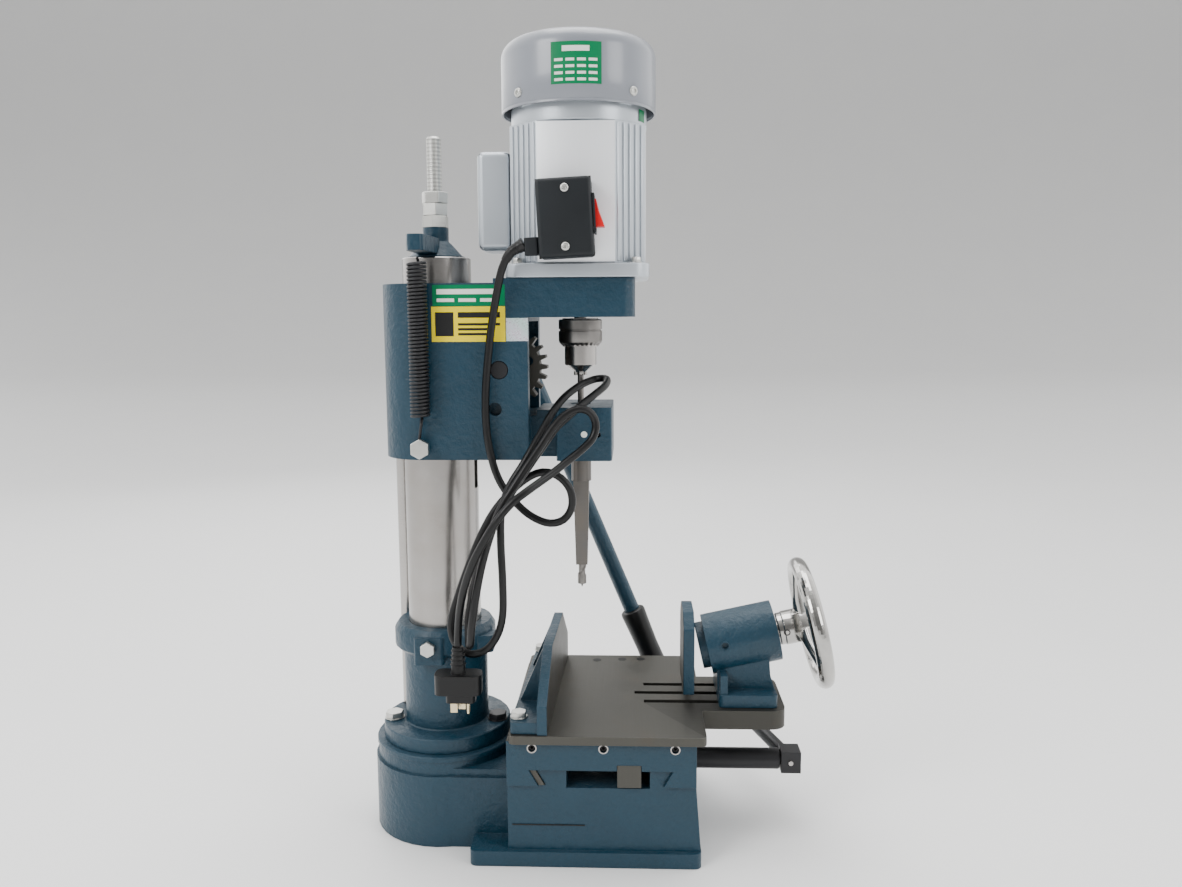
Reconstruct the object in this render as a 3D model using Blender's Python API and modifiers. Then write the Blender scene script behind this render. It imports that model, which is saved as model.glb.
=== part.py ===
"""Bench hollow-chisel mortiser: a drill press that cuts square holes.

The head slides on a ground column, and a gear on the lever shaft rolls on a rack in the column.
The work table slides along Y on a dovetail, and a screw vise presses the work against a fence.
Frame: +X from the column to the vise, +Y to the feed lever's side, +Z up.
The origin is on the column's axis, in the plane that the base stands on.
"""

import math

import bmesh
import bpy
from mathutils import Matrix, Vector

MM = 0.001
GAP = 0.3 * MM                     # between pieces that touch or slide

# Base casting
FOOT_X = (36 * MM, 246 * MM)
FOOT_HALF_Y = 101 * MM
FOOT_H = 14 * MM
PEDESTAL_X = (71 * MM, 241 * MM)
PEDESTAL_HALF_Y = 96 * MM
PEDESTAL_TOP = 76 * MM
PEDESTAL_DRAFT = 5 * MM            # the vise side spreads by this much down to the foot
DRUM_R = 70.5 * MM
DRUM_BODY_TOP = 69 * MM
DRUM_BAND = 2.5 * MM               # the band under the drum's lip is this much narrower
DRUM_LIP_H = 5 * MM
DRUM_TOP = 87 * MM

# Dovetail between the base and the table
DOVETAIL_X = (97 * MM, 220 * MM)   # at its wide top
DOVETAIL_H = 15 * MM
DOVETAIL_SLOPE = math.tan(math.radians(30))
GIB_T = 5.5 * MM
RACK_SLOT_X = (124.5 * MM, 199.5 * MM)
RACK_SLOT_FLOOR = 73.5 * MM

# Column, its socket and its cap
COLUMN_R = 35 * MM
COLUMN_WALL = 8 * MM
COLUMN_TOP = 549 * MM
NECK_STEP = 3 * MM                 # the neck is this much slimmer than the column
NECK_L = 40 * MM
SOCKET_FLANGE_R = 62 * MM
SOCKET_FLANGE_H = 14 * MM
SOCKET_WALL = 5.5 * MM
COLLAR_R = 49 * MM
COLLAR_Z = (175 * MM, 201 * MM)
SOCKET_BOLT_R = 52 * MM
SOCKET_BOLT_ANGLES = (190, 350, 90)
CAP_BOSS_R = 12 * MM
CAP_BOSS_H = 27.5 * MM
CAP_SKIRT_R = 26 * MM
TIE_ROD_R = 7 * MM
TIE_ROD_TOP = 659.5 * MM
TIE_ROD_DEPTH = 30 * MM            # into the base
TIE_NUT_AF = 22 * MM
TIE_NUT_H = 10.6 * MM
GUIDE_ROD_R = 7 * MM
GUIDE_ROD_XY = (-44.5 * MM, 31 * MM)
GUIDE_ROD_TOP = 470 * MM

# Head casting
HEAD_X = (-46 * MM, 91 * MM)
HEAD_HALF_Y = 59 * MM
HEAD_Z = (366 * MM, 524 * MM)
HEAD_CORNER_R = 40 * MM
CHEEK_T = 14 * MM
POCKET_Z = (404 * MM, 490 * MM)
ARM_END = 186.5 * MM
ARM_Z = (493.5 * MM, 528 * MM)
ARM_CORNER_R = 12 * MM
BRACKET_NECK_HALF_Y = 35 * MM
BRACKET_X = (114.5 * MM, 165.5 * MM)
BRACKET_HALF_Y = 45 * MM
BRACKET_Z = (363 * MM, 412 * MM)

# Feed gear, its shaft and the feed lever
GEAR_X = 65 * MM
GEAR_Z = 447 * MM
GEAR_MODULE = 3 * MM
GEAR_TEETH = 24
GEAR_T = 18 * MM
GEAR_HOLES = 6
GEAR_HOLE_R = 4.5 * MM
FEED_SHAFT_R = 8 * MM
RACK_W = 19 * MM
COLUMN_RACK_Z = (332 * MM, 478 * MM)
LEVER_Y = 158 * MM                 # outside the table's travel
LEVER_HUB_R = 17 * MM
LEVER_ANGLE = math.radians(22.6)   # from straight down, towards the vise
LEVER_L = 420 * MM
LEVER_R = 8.8 * MM
GRIP_L = 112 * MM
GRIP_R = 14 * MM

# Spindle, chuck, bit and chisel
SPINDLE_X = 135 * MM
SHAFT_R = 8 * MM
CHUCK_TOP = 492.5 * MM
CHUCK_SLEEVE_R = 20.5 * MM
CHUCK_SLEEVE_H = 25.5 * MM
CHUCK_NOSE_R = 15 * MM
CHUCK_NOSE_BOTTOM = 449 * MM
JAW_BOTTOM = 442 * MM
BIT_SHANK_R = 3 * MM
BIT_TIP = 232.5 * MM
CHISEL_SHANK_R = 9.525 * MM
CHISEL_SHANK_Z = (338 * MM, 411 * MM)
CHISEL_SIDE = 11 * MM
CHISEL_TIP = 256 * MM

# Motor
FLANGE_HALF = 64 * MM
FLANGE_T = 12 * MM
HOUSING_HALF = 60 * MM
HOUSING_FLAT = 34.5 * MM
HOUSING_BORE_R = 50 * MM
HOUSING_TOP = 662 * MM
BELL_R = 62 * MM
BELL_TOP = 680 * MM
COVER_R = 70.4 * MM
COVER_Z = (676 * MM, 747 * MM)
COVER_SHOULDER = 15 * MM
COVER_DOME = 8 * MM                # its top rises by this much inside the shoulder
COVER_WALL = 1.6 * MM
BEARING_R = 17.5 * MM
BEARING_T = 11 * MM
ROTOR_R = 29 * MM
ROTOR_Z = (562 * MM, 638 * MM)
STATOR_R = 30 * MM
FAN_R = 52 * MM
FAN_BLADES = 6
CAPACITOR_X = 43.5 * MM
CAPACITOR_HALF_Y = 27 * MM
CAPACITOR_Z = (554 * MM, 642 * MM)

# Switch box
SWITCH_X = (103 * MM, 150.5 * MM)
SWITCH_Y = (-88.5 * MM, -60.5 * MM)
SWITCH_Z = (544 * MM, 610.5 * MM)
SWITCH_WALL = 2.5 * MM
SWITCH_TILT = math.radians(-2.9)
ROCKER_Y = (-83 * MM, -69 * MM)
ROCKER_Z = 579.5 * MM
ROCKER_HALF_H = 13.4 * MM

# Return spring
SPRING_XY = (-4.5 * MM, -67.5 * MM)
SPRING_Z = (399 * MM, 545 * MM)
SPRING_R = 6.3 * MM
SPRING_WIRE_R = 1.1 * MM
SPRING_TURNS = 15
SPRING_BOLT_Z = 377.5 * MM

# Table, fence and vise
TABLE_X = (73.5 * MM, 249.5 * MM)
TABLE_HALF_Y = 106.5 * MM
TABLE_TOP = 126 * MM
TABLE_SLAB_T = 8 * MM
SADDLE_HALF_Y = 100 * MM
TONGUE_X = 328.5 * MM
TONGUE_HALF_Y = 45 * MM
TONGUE_T = 18 * MM
TABLE_SLOTS = ((195 * MM, 22 * MM), (186 * MM, 0.0), (195 * MM, -22 * MM))
TABLE_SLOT_W = 7 * MM
TABLE_SLOT_END = 312 * MM
RACK_BAR_X = (170.3 * MM, 191.7 * MM)
RACK_BAR_H = 21 * MM
FENCE_FACE_X = 111 * MM
FENCE_T = 9 * MM
FENCE_FOOT_T = 10.5 * MM
FENCE_SHOULDER = 26.5 * MM
FENCE_H = 64.5 * MM
FENCE_TOP_HALF = 51.5 * MM
FENCE_SKEW = math.radians(-1.44)
FENCE_RIB_Y = (-47 * MM, 47 * MM)
FENCE_BOLT = (84 * MM, 90 * MM)
VISE_AXIS = math.radians(12.7)
BARREL_END = Vector((323 * MM, 0, 191 * MM))
BARREL_L = 68.5 * MM
BARREL_R = 29 * MM
VISE_FOOT_X = (266 * MM, 321 * MM)
VISE_FOOT_HALF_Y = 38 * MM
VISE_FOOT_T = 12 * MM
VISE_LEG_X = (264 * MM, 324 * MM)
VISE_LEG_HALF_Y = 20 * MM
VISE_BOLT = (294 * MM, 22 * MM)
QUILL_R = 22.5 * MM
JAW_X = (232 * MM, 242.7 * MM)
JAW_HALF_Y = 32 * MM
JAW_Z = (136 * MM, 214 * MM)
JAW_CHAMFER = 14 * MM
SCREW_R = 8 * MM
HUB_R = 16.5 * MM
WHEEL_R = 62 * MM
WHEEL_RIM_R = 6 * MM
WHEEL_SPOKES = 3

# Table traverse: rack, pinion shaft and lever
TRAVERSE_Y = -10 * MM
TRAVERSE_Z = 64 * MM
TRAVERSE_R = 10 * MM
TRAVERSE_END = 326.5 * MM
TRAVERSE_TIP_R = 6 * MM
TRAVERSE_HUB_X = (328 * MM, 347 * MM)
TRAVERSE_HUB_HALF = 10.5 * MM
TRAVERSE_LEVER_R = 6.5 * MM
TRAVERSE_LEVER_TO = Vector((-46 * MM, 132 * MM, 8 * MM))

# Power cord: centre-line points in millimetres, from the strain relief to the plug
CORD_R = 3.5 * MM
CORD_POINTS = 80
CORD_ROUTE = (
    (89, -78, 554.5), (79.5, -77, 549), (72, -74, 537), (67, -70, 520), (62, -67, 496),
    (58, -66, 470), (54, -66, 430), (54, -66, 396), (58, -66, 369), (65, -66, 348),
    (76, -66, 332), (91, -68, 318), (108, -71, 311), (122, -73, 314), (130, -75, 326),
    (129, -77, 342), (119, -77, 354), (105, -77, 358), (90, -77, 352), (74, -77, 338),
    (60, -77, 321), (48, -77, 299), (38, -77, 275), (28, -77, 248), (20, -77, 221),
    (23, -77, 202), (36, -77, 191), (51, -78, 195), (62, -80, 209), (68, -84, 230),
    (69, -88, 262), (68, -88, 296), (69, -88, 324), (76, -88, 346), (89, -84, 367),
    (101, -74, 388), (112, -59, 408), (121, -44, 420), (131, -27, 428), (141, -13, 433), (151, -8, 436),
    (160, -15, 436), (159, -29, 431), (150, -43, 424), (139, -56, 416), (128, -66, 407),
    (117, -74, 397), (106, -81, 382), (94, -88, 365), (83, -96, 349), (73, -99, 332),
    (63, -97, 313), (53, -91, 291), (45, -84, 266), (39, -79, 241), (36, -78, 222),
    (37, -84, 209), (39, -95, 205), (42, -105, 211), (44, -109, 226), (48, -109, 252),
    (54, -109, 281), (62, -109, 308), (71, -109, 331), (82, -107, 349), (93, -102, 366),
    (104, -95, 382), (114, -89, 397), (124, -84, 408), (136, -80, 414), (147, -77, 411),
    (152, -76, 400), (149, -78, 388), (139, -83, 378), (127, -90, 369), (116, -98, 361),
    (105, -107, 354), (94, -116, 347), (82, -121, 338), (70, -123, 324), (58, -122, 305),
    (47, -118, 284), (38, -110, 260), (32, -100, 236), (29, -92, 217), (28, -90, 203.5),
)
PLUG_X = 28 * MM
PLUG_Y = -90 * MM
PLUG_BODY_Z = (160 * MM, 178 * MM)
PLUG_NECK_TOP = 202.5 * MM
PLUG_HALF_X = 21 * MM
PLUG_HALF_Y = 11 * MM
PIN_TIP = 142 * MM

PARTS = "bench_mortiser"


# ---------------------------------------------------------------- scene and materials

def clear_scene():
    for obj in list(bpy.data.objects):
        bpy.data.objects.remove(obj, do_unlink=True)


def collection(name):
    found = bpy.data.collections.get(name)
    if found is None:
        found = bpy.data.collections.new(name)
        bpy.context.scene.collection.children.link(found)
    return found


def finish(name, colour, roughness, metallic):
    mat = bpy.data.materials.new(name)
    mat.use_nodes = True
    shader = mat.node_tree.nodes["Principled BSDF"]
    shader.inputs["Base Color"].default_value = (*colour, 1.0)
    shader.inputs["Roughness"].default_value = roughness
    shader.inputs["Metallic"].default_value = metallic
    return mat


def finishes():
    return {
        "paint": finish("teal_paint", (0.030, 0.085, 0.110), 0.40, 0.0),
        "iron": finish("machined_iron", (0.20, 0.19, 0.17), 0.45, 0.9),
        "steel": finish("ground_steel", (0.48, 0.46, 0.44), 0.25, 1.0),
        "zinc": finish("zinc_plate", (0.62, 0.64, 0.62), 0.35, 1.0),
        "alloy": finish("motor_alloy", (0.55, 0.57, 0.60), 0.40, 0.6),
        "grey": finish("grey_paint", (0.30, 0.32, 0.34), 0.40, 0.2),
        "chrome": finish("chrome", (0.75, 0.75, 0.76), 0.10, 1.0),
        "black": finish("black_plastic", (0.015, 0.016, 0.018), 0.45, 0.0),
        "red": finish("red_rocker", (0.60, 0.02, 0.02), 0.35, 0.0),
        "brass": finish("brass", (0.75, 0.60, 0.35), 0.30, 1.0),
        "copper": finish("copper", (0.65, 0.30, 0.15), 0.40, 1.0),
        "oxide": finish("black_oxide", (0.035, 0.035, 0.037), 0.40, 0.6),
    }


# ---------------------------------------------------------------- shapes

def link(name, mesh):
    obj = bpy.data.objects.new(name, mesh)
    collection(PARTS).objects.link(obj)
    return obj


def mesh_from(name, bm):
    mesh = bpy.data.meshes.new(name)
    bmesh.ops.recalc_face_normals(bm, faces=bm.faces)
    bm.to_mesh(mesh)
    bm.free()
    return link(name, mesh)


def box(name, x, y, z, round_z=0.0, steps=4):
    """A block between the pairs x, y and z; round_z rounds its four upright edges."""
    bm = bmesh.new()
    bmesh.ops.create_cube(bm, size=1.0)
    for vert in bm.verts:
        for axis, (low, high) in enumerate((x, y, z)):
            vert.co[axis] = high if vert.co[axis] > 0 else low
    if round_z:
        upright = [e for e in bm.edges if abs(e.verts[0].co.z - e.verts[1].co.z) > 1e-6]
        bmesh.ops.bevel(bm, geom=upright, offset=round_z, segments=steps, profile=0.5,
                        affect='EDGES')
    return mesh_from(name, bm)


def along(start, end):
    """A matrix that takes +Z to the way from start to end, with its origin at start."""
    way = Vector(end) - Vector(start)
    turn = way.to_track_quat('Z', 'Y').to_matrix().to_4x4()
    return Matrix.Translation(Vector(start)) @ turn


def rod(name, start, end, radius, radius2=None, sides=24):
    """A round bar or cone from start to end."""
    length = (Vector(end) - Vector(start)).length
    bm = bmesh.new()
    bmesh.ops.create_cone(bm, cap_ends=True, segments=sides, radius1=radius,
                          radius2=radius if radius2 is None else radius2, depth=length)
    bmesh.ops.translate(bm, verts=bm.verts, vec=(0, 0, length / 2))
    bmesh.ops.transform(bm, verts=bm.verts, matrix=along(start, end))
    return mesh_from(name, bm)


def turned(name, profile, place=Matrix(), sides=28, closed=False):
    """A turned piece: (radius, height) pairs, top to bottom on the outside, round its Z."""
    mesh = bpy.data.meshes.new(name)
    points = [(radius, 0.0, height) for radius, height in profile]
    edges = [(i, i + 1) for i in range(len(points) - 1)]
    if closed:
        edges.append((len(points) - 1, 0))
    mesh.from_pydata(points, edges, [])
    obj = link(name, mesh)
    obj.matrix_world = place
    screw = obj.modifiers.new("turn", 'SCREW')
    screw.steps = sides
    screw.render_steps = sides
    screw.use_merge_vertices = True
    screw.merge_threshold = 0.0001
    return obj


def ring(name, x, y, z, inner, outer, sides=28):
    """A plain ring on the Z axis through x, y."""
    profile = [(outer, z[1]), (outer, z[0]), (inner, z[0]), (inner, z[1])]
    return turned(name, profile, Matrix.Translation((x, y, 0)), sides, closed=True)


def rounded(points, steps=5):
    """An outline whose points may carry a third number, the radius of that corner."""
    out = []
    count = len(points)
    for i, point in enumerate(points):
        here = Vector(point[:2])
        radius = point[2] if len(point) > 2 else 0.0
        if radius <= 0:
            out.append(here)
            continue
        to_last = (Vector(points[i - 1][:2]) - here).normalized()
        to_next = (Vector(points[(i + 1) % count][:2]) - here).normalized()
        half = to_last.angle(to_next) / 2
        start = here + to_last * (radius / math.tan(half))
        end = here + to_next * (radius / math.tan(half))
        centre = here + (to_last + to_next).normalized() * (radius / math.sin(half))
        for k in range(steps + 1):
            mixed = (start - centre).slerp(end - centre, k / steps)
            out.append(centre + mixed.normalized() * radius)
    return out


PLANES = {
    'X': Matrix(((0, 0, 1, 0), (1, 0, 0, 0), (0, 1, 0, 0), (0, 0, 0, 1))),
    'Y': Matrix(((1, 0, 0, 0), (0, 0, -1, 0), (0, 1, 0, 0), (0, 0, 0, 1))),
    'Z': Matrix(),
}


def plate(name, points, axis, span, steps=5, place=Matrix()):
    """A flat outline given thickness: in Y-Z for axis X, X-Z for axis Y, X-Y for axis Z."""
    curve = bpy.data.curves.new(name, 'CURVE')
    curve.dimensions = '2D'
    curve.fill_mode = 'BOTH'
    curve.extrude = abs(span[1] - span[0]) / 2
    outline = rounded(points, steps)
    spline = curve.splines.new('POLY')
    spline.points.add(len(outline) - 1)
    for point, co in zip(spline.points, outline):
        point.co = (co.x, co.y, 0, 1)
    spline.use_cyclic_u = True
    guide = link(name + "_outline", curve)
    middle = (span[0] + span[1]) / 2
    offset = {'X': (middle, 0, 0), 'Y': (0, middle, 0), 'Z': (0, 0, middle)}[axis]
    return solid_from(name, guide, place @ Matrix.Translation(offset) @ PLANES[axis])


def solid_from(name, guide, matrix=None):
    """A closed mesh made from a curve object, which is then removed."""
    bpy.context.view_layer.update()
    graph = bpy.context.evaluated_depsgraph_get()
    mesh = bpy.data.meshes.new_from_object(guide.evaluated_get(graph))
    bm = bmesh.new()
    bm.from_mesh(mesh)
    bmesh.ops.remove_doubles(bm, verts=bm.verts, dist=1e-6)
    bmesh.ops.transform(bm, verts=bm.verts, matrix=matrix or guide.matrix_world)
    bpy.data.objects.remove(guide, do_unlink=True)
    return mesh_from(name, bm)


def wire(name, points, radius, resolution):
    """A round wire through the points, with filled ends."""
    curve = bpy.data.curves.new(name, 'CURVE')
    curve.dimensions = '3D'
    curve.bevel_depth = radius
    curve.bevel_resolution = resolution
    curve.use_fill_caps = True
    spline = curve.splines.new('POLY')
    spline.points.add(len(points) - 1)
    for point, co in zip(spline.points, points):
        point.co = (*co, 1)
    return link(name, curve)


def boolean(obj, other, operation):
    keep = collection("cutters")
    for user in list(other.users_collection):
        user.objects.unlink(other)
    keep.objects.link(other)
    other.hide_render = True
    other.display_type = 'WIRE'
    modifier = obj.modifiers.new(operation.lower(), 'BOOLEAN')
    modifier.operation = operation
    modifier.solver = 'EXACT'
    modifier.object = other
    return obj


def cut(obj, *others):
    for other in others:
        boolean(obj, other, 'DIFFERENCE')
    return obj


def add(obj, *others):
    for other in others:
        boolean(obj, other, 'UNION')
    return obj


def dress(obj, mat):
    """Gives the piece its material and smooth shading between sharp edges."""
    obj.data.materials.clear()
    obj.data.materials.append(mat)
    if obj.type == 'MESH' and obj.data.polygons:
        obj.data.shade_smooth()
        obj.data.set_sharp_from_angle(angle=math.radians(35))
    for modifier in obj.modifiers:
        if modifier.type == 'SCREW':
            modifier.use_smooth_shade = True
    return obj


def joint(name, place):
    """An empty on a joint's axis, which carries the pieces that move with it."""
    empty = bpy.data.objects.new(name, None)
    empty.empty_display_size = 0.03
    collection("joints").objects.link(empty)
    empty.location = place
    return empty


def carry(empty, *pieces):
    bpy.context.view_layer.update()
    for piece in pieces:
        piece.parent = empty
        piece.matrix_parent_inverse = empty.matrix_world.inverted()


def hexagon(name, start, end, across):
    """A six-sided bar, given across its flats."""
    return rod(name, start, end, across / math.sqrt(3), sides=6)


def bolt(name, under_head, way, across, head_h, shank_r, shank_l, mat):
    """A hex-head bolt: way points from the head down its shank."""
    way = Vector(way).normalized()
    seat = Vector(under_head)
    head = hexagon(name, seat - way * head_h, seat, across)
    shank = rod(name + "_shank", seat - way * head_h / 2, seat + way * shank_l, shank_r, sides=16)
    return dress(add(head, shank), mat)


def toothed_wheel(module, teeth, turn=0.0):
    """Points of a spur gear's outline, four to a tooth."""
    pitch_r = module * teeth / 2
    points = []
    for tooth in range(teeth):
        middle = turn + 2 * math.pi * tooth / teeth
        step = 2 * math.pi / teeth
        for part, radius in ((-0.30, -1.2), (-0.14, 1.0), (0.14, 1.0), (0.30, -1.2)):
            reach = pitch_r + radius * module
            angle = middle + part * step
            points.append((reach * math.cos(angle), reach * math.sin(angle)))
    return points


def toothed_edge(module, start, end, tip, sign):
    """Points of a rack's toothed edge, as (along, height): tips at tip, roots on sign's side."""
    pitch = math.pi * module
    depth = 2.1 * module
    count = int((end - start) / pitch)
    first = (start + end - count * pitch) / 2
    points = []
    for tooth in range(count):
        at = first + tooth * pitch
        points.append((at + 0.08 * pitch, tip + sign * depth))
        points.append((at + 0.28 * pitch, tip))
        points.append((at + 0.64 * pitch, tip))
        points.append((at + 0.84 * pitch, tip + sign * depth))
    return points


# ---------------------------------------------------------------- base, column and its fittings

def dovetail(bottom, top, grow=0.0):
    """Outline in X-Z of the slide, wide at the top; grow widens it all round for a clearance."""
    lean = (top - bottom) * DOVETAIL_SLOPE
    left, right = DOVETAIL_X
    wide_left = left - grow
    wide_right = right + grow
    return ((wide_left + lean, bottom), (wide_right - lean, bottom), (wide_right, top), (wide_left, top))


def base_casting(mats):
    foot = box("base_casting", FOOT_X, (-FOOT_HALF_Y, FOOT_HALF_Y), (0, FOOT_H), 6 * MM)
    side = ((PEDESTAL_X[0], FOOT_H / 2), (PEDESTAL_X[1] + PEDESTAL_DRAFT, FOOT_H / 2),
            (PEDESTAL_X[1], PEDESTAL_TOP), (PEDESTAL_X[0], PEDESTAL_TOP))
    pedestal = plate("pedestal", side, 'Y', (-PEDESTAL_HALF_Y, PEDESTAL_HALF_Y))
    slide = plate("slide", dovetail(PEDESTAL_TOP - 1 * MM, PEDESTAL_TOP + DOVETAIL_H), 'Y',
                  (-PEDESTAL_HALF_Y, PEDESTAL_HALF_Y))
    lip = DRUM_R - 1.5 * MM
    band = DRUM_R - DRUM_BAND
    lip_low = DRUM_TOP - DRUM_LIP_H
    profile = [(0, DRUM_TOP), (lip - 1 * MM, DRUM_TOP), (lip, DRUM_TOP - 1 * MM), (lip, lip_low),
               (band, lip_low), (band, DRUM_BODY_TOP), (DRUM_R, DRUM_BODY_TOP), (DRUM_R, 0), (0, 0)]
    drum = turned("drum", profile, sides=36)
    solids = [pedestal, slide, drum]
    levels = ((0, DRUM_BODY_TOP - 0.5 * MM, 1.5 * MM),
              (DRUM_BODY_TOP - 9 * MM, PEDESTAL_TOP - 0.5 * MM, 4.5 * MM))
    for number, (level_low, level_high, inset) in enumerate(levels):
        half = DRUM_R - inset
        solids.append(box(f"drum_bridge_{number}", (5 * MM, PEDESTAL_X[0] + 1 * MM), (-half, half),
                          (level_low, level_high)))
    add(foot, *solids)
    reach = 2 * PEDESTAL_HALF_Y
    slot = box("rack_slot", RACK_SLOT_X, (-reach, reach), (RACK_SLOT_FLOOR, PEDESTAL_TOP + 2 * DOVETAIL_H))
    pinion_room = box("pinion_room", (RACK_BAR_X[0] - 4 * MM, RACK_BAR_X[1] + 4 * MM),
                      (TRAVERSE_Y - 14 * MM, TRAVERSE_Y + 14 * MM),
                      (TRAVERSE_Z - 14 * MM, PEDESTAL_TOP))
    shaft_hole = rod("traverse_hole", (RACK_BAR_X[0] - 2 * MM, TRAVERSE_Y, TRAVERSE_Z),
                     (PEDESTAL_X[1] + 20 * MM, TRAVERSE_Y, TRAVERSE_Z), TRAVERSE_R + GAP)
    tie_hole = rod("tie_hole", (0, 0, DRUM_TOP - TIE_ROD_DEPTH - GAP), (0, 0, DRUM_TOP + 1 * MM),
                   TIE_ROD_R + GAP)
    bolt_holes = [rod(f"base_bolt_hole_{i}", (x, y, DRUM_TOP - 12 * MM), (x, y, DRUM_TOP + 1 * MM),
                      5 * MM + GAP, sides=16) for i, (x, y) in enumerate(socket_bolt_places())]
    cut(foot, slot, pinion_room, shaft_hole, tie_hole, *bolt_holes)
    return dress(foot, mats["paint"])


def socket_bolt_places():
    angles = [math.radians(angle) for angle in SOCKET_BOLT_ANGLES]
    return [(SOCKET_BOLT_R * math.cos(a), SOCKET_BOLT_R * math.sin(a)) for a in angles]


def lock_bolt_seat():
    return Vector((-7 * MM, -(COLLAR_R + 2 * MM), COLLAR_Z[1] - 14.5 * MM))


def column_socket(mats):
    low = DRUM_TOP + GAP
    flange_top = low + SOCKET_FLANGE_H
    sleeve = COLUMN_R + SOCKET_WALL
    soft = 4 * MM
    profile = [(COLUMN_R + GAP, COLLAR_Z[1]), (COLLAR_R - soft, COLLAR_Z[1]),
               (COLLAR_R, COLLAR_Z[1] - 3 * soft / 2), (COLLAR_R, COLLAR_Z[0] + soft),
               (COLLAR_R - soft, COLLAR_Z[0]), (sleeve, COLLAR_Z[0] - soft / 2),
               (sleeve, flange_top + soft / 4), (sleeve + soft / 4, flange_top),
               (SOCKET_FLANGE_R - 1 * MM, flange_top), (SOCKET_FLANGE_R, flange_top - 1 * MM),
               (SOCKET_FLANGE_R, low), (COLUMN_R + GAP, low)]
    socket = turned("column_socket", profile, sides=28, closed=True)
    seat = lock_bolt_seat()
    lug = box("lock_lug", (seat.x - 14 * MM, seat.x + 14 * MM), (seat.y, seat.y + 13 * MM),
              (COLLAR_Z[0] - 5 * MM, COLLAR_Z[1] - 5 * MM), 3 * MM)
    side_lug = box("side_lug", (34 * MM, 51 * MM), (-33 * MM, -13 * MM),
                   (COLLAR_Z[0] + 2 * MM, COLLAR_Z[1] - 8 * MM), 4 * MM)
    add(socket, lug, side_lug)
    x, y = GUIDE_ROD_XY
    notch = rod("guide_notch", (x, y, flange_top + 20 * MM), (x, y, COLLAR_Z[1] + 1 * MM),
                GUIDE_ROD_R + 1 * MM, sides=16)
    rod_hole = rod("guide_hole", (x, y, low - 1 * MM), (x, y, flange_top + 2 * MM),
                   GUIDE_ROD_R + GAP, sides=16)
    lock_hole = rod("lock_hole", seat - Vector((0, 1 * MM, 0)), (seat.x, 0, seat.z), 4 * MM + GAP,
                    sides=16)
    bolt_holes = [rod(f"flange_hole_{i}", (px, py, low - 1 * MM), (px, py, flange_top + 1 * MM),
                      5 * MM + GAP, sides=16) for i, (px, py) in enumerate(socket_bolt_places())]
    cut(socket, notch, rod_hole, lock_hole, *bolt_holes)
    return dress(socket, mats["paint"])


def socket_bolts(mats):
    top = DRUM_TOP + 2 * GAP + SOCKET_FLANGE_H
    made = [bolt(f"socket_bolt_{i + 1}", (x, y, top), (0, 0, -1), 16 * MM, 6.4 * MM, 5 * MM,
                 SOCKET_FLANGE_H + 8 * MM, mats["zinc"])
            for i, (x, y) in enumerate(socket_bolt_places())]
    seat = lock_bolt_seat() - Vector((0, GAP, 0))
    length = -seat.y - COLUMN_R - GAP
    made.append(bolt("socket_lock_bolt", seat, (0, 1, 0), 13 * MM, 5.5 * MM, 4 * MM, length,
                     mats["zinc"]))
    return made


def rack_face_x():
    """X of the rack's tooth tips: clear of the gear's tips by a gap."""
    tip_r = GEAR_MODULE * GEAR_TEETH / 2 + GEAR_MODULE
    return GEAR_X - tip_r - GAP


def column_tube(mats):
    low = DRUM_TOP + GAP
    neck = COLUMN_R - NECK_STEP
    profile = [(COLUMN_R - COLUMN_WALL, COLUMN_TOP), (neck - 1 * MM, COLUMN_TOP),
               (neck, COLUMN_TOP - 1 * MM), (neck, COLUMN_TOP - NECK_L), (COLUMN_R, COLUMN_TOP - NECK_L),
               (COLUMN_R, low), (COLUMN_R - COLUMN_WALL, low)]
    column = turned("column_tube", profile, sides=36, closed=True)
    slot = box("column_slot", (rack_face_x() - 10 * MM, COLUMN_R + 5 * MM),
               (-RACK_W / 2 - GAP, RACK_W / 2 + GAP),
               (COLUMN_RACK_Z[0] - GAP, COLUMN_RACK_Z[1] + GAP))
    cut(column, slot)
    return dress(column, mats["steel"])


def column_rack(mats):
    tip = rack_face_x()
    low, high = COLUMN_RACK_Z
    teeth = toothed_edge(GEAR_MODULE, low + 2 * MM, high - 2 * MM, tip, -1)
    back = tip - 9.5 * MM
    points = [(back, low), (tip - 2.1 * GEAR_MODULE, low)]
    points += [(x, z) for z, x in teeth]
    points += [(tip - 2.1 * GEAR_MODULE, high), (back, high)]
    return dress(plate("column_rack", points, 'Y', (-RACK_W / 2, RACK_W / 2)), mats["steel"])


def column_cap(mats):
    low = COLUMN_TOP + GAP
    boss_top = low + CAP_BOSS_H
    profile = [(0, boss_top), (CAP_BOSS_R, boss_top), (CAP_BOSS_R, low + 15 * MM),
               (CAP_BOSS_R + 4 * MM, low + 11 * MM), (CAP_SKIRT_R, low), (0, low)]
    cap = turned("column_cap", profile, sides=28)
    plug = rod("cap_spigot", (0, 0, low - 9 * MM), (0, 0, low + 1 * MM),
               COLUMN_R - COLUMN_WALL - GAP, sides=28)
    sx, sy = SPRING_XY
    arm = ((2 * MM, -4 * MM), (-14 * MM, -4 * MM), (-15 * MM, sy + 8 * MM, 4 * MM),
           (sx - 7 * MM, sy - 3 * MM, 4 * MM), (sx + 6 * MM, sy - 3 * MM, 4 * MM), (6 * MM, -16 * MM))
    ear = plate("spring_ear", arm, 'Z', (low + 3 * MM, low + 17 * MM))
    add(cap, plug, ear)
    rod_hole = rod("cap_hole", (0, 0, low - 12 * MM), (0, 0, boss_top + 1 * MM), TIE_ROD_R + GAP)
    cut(cap, rod_hole)
    return dress(cap, mats["paint"])


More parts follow.
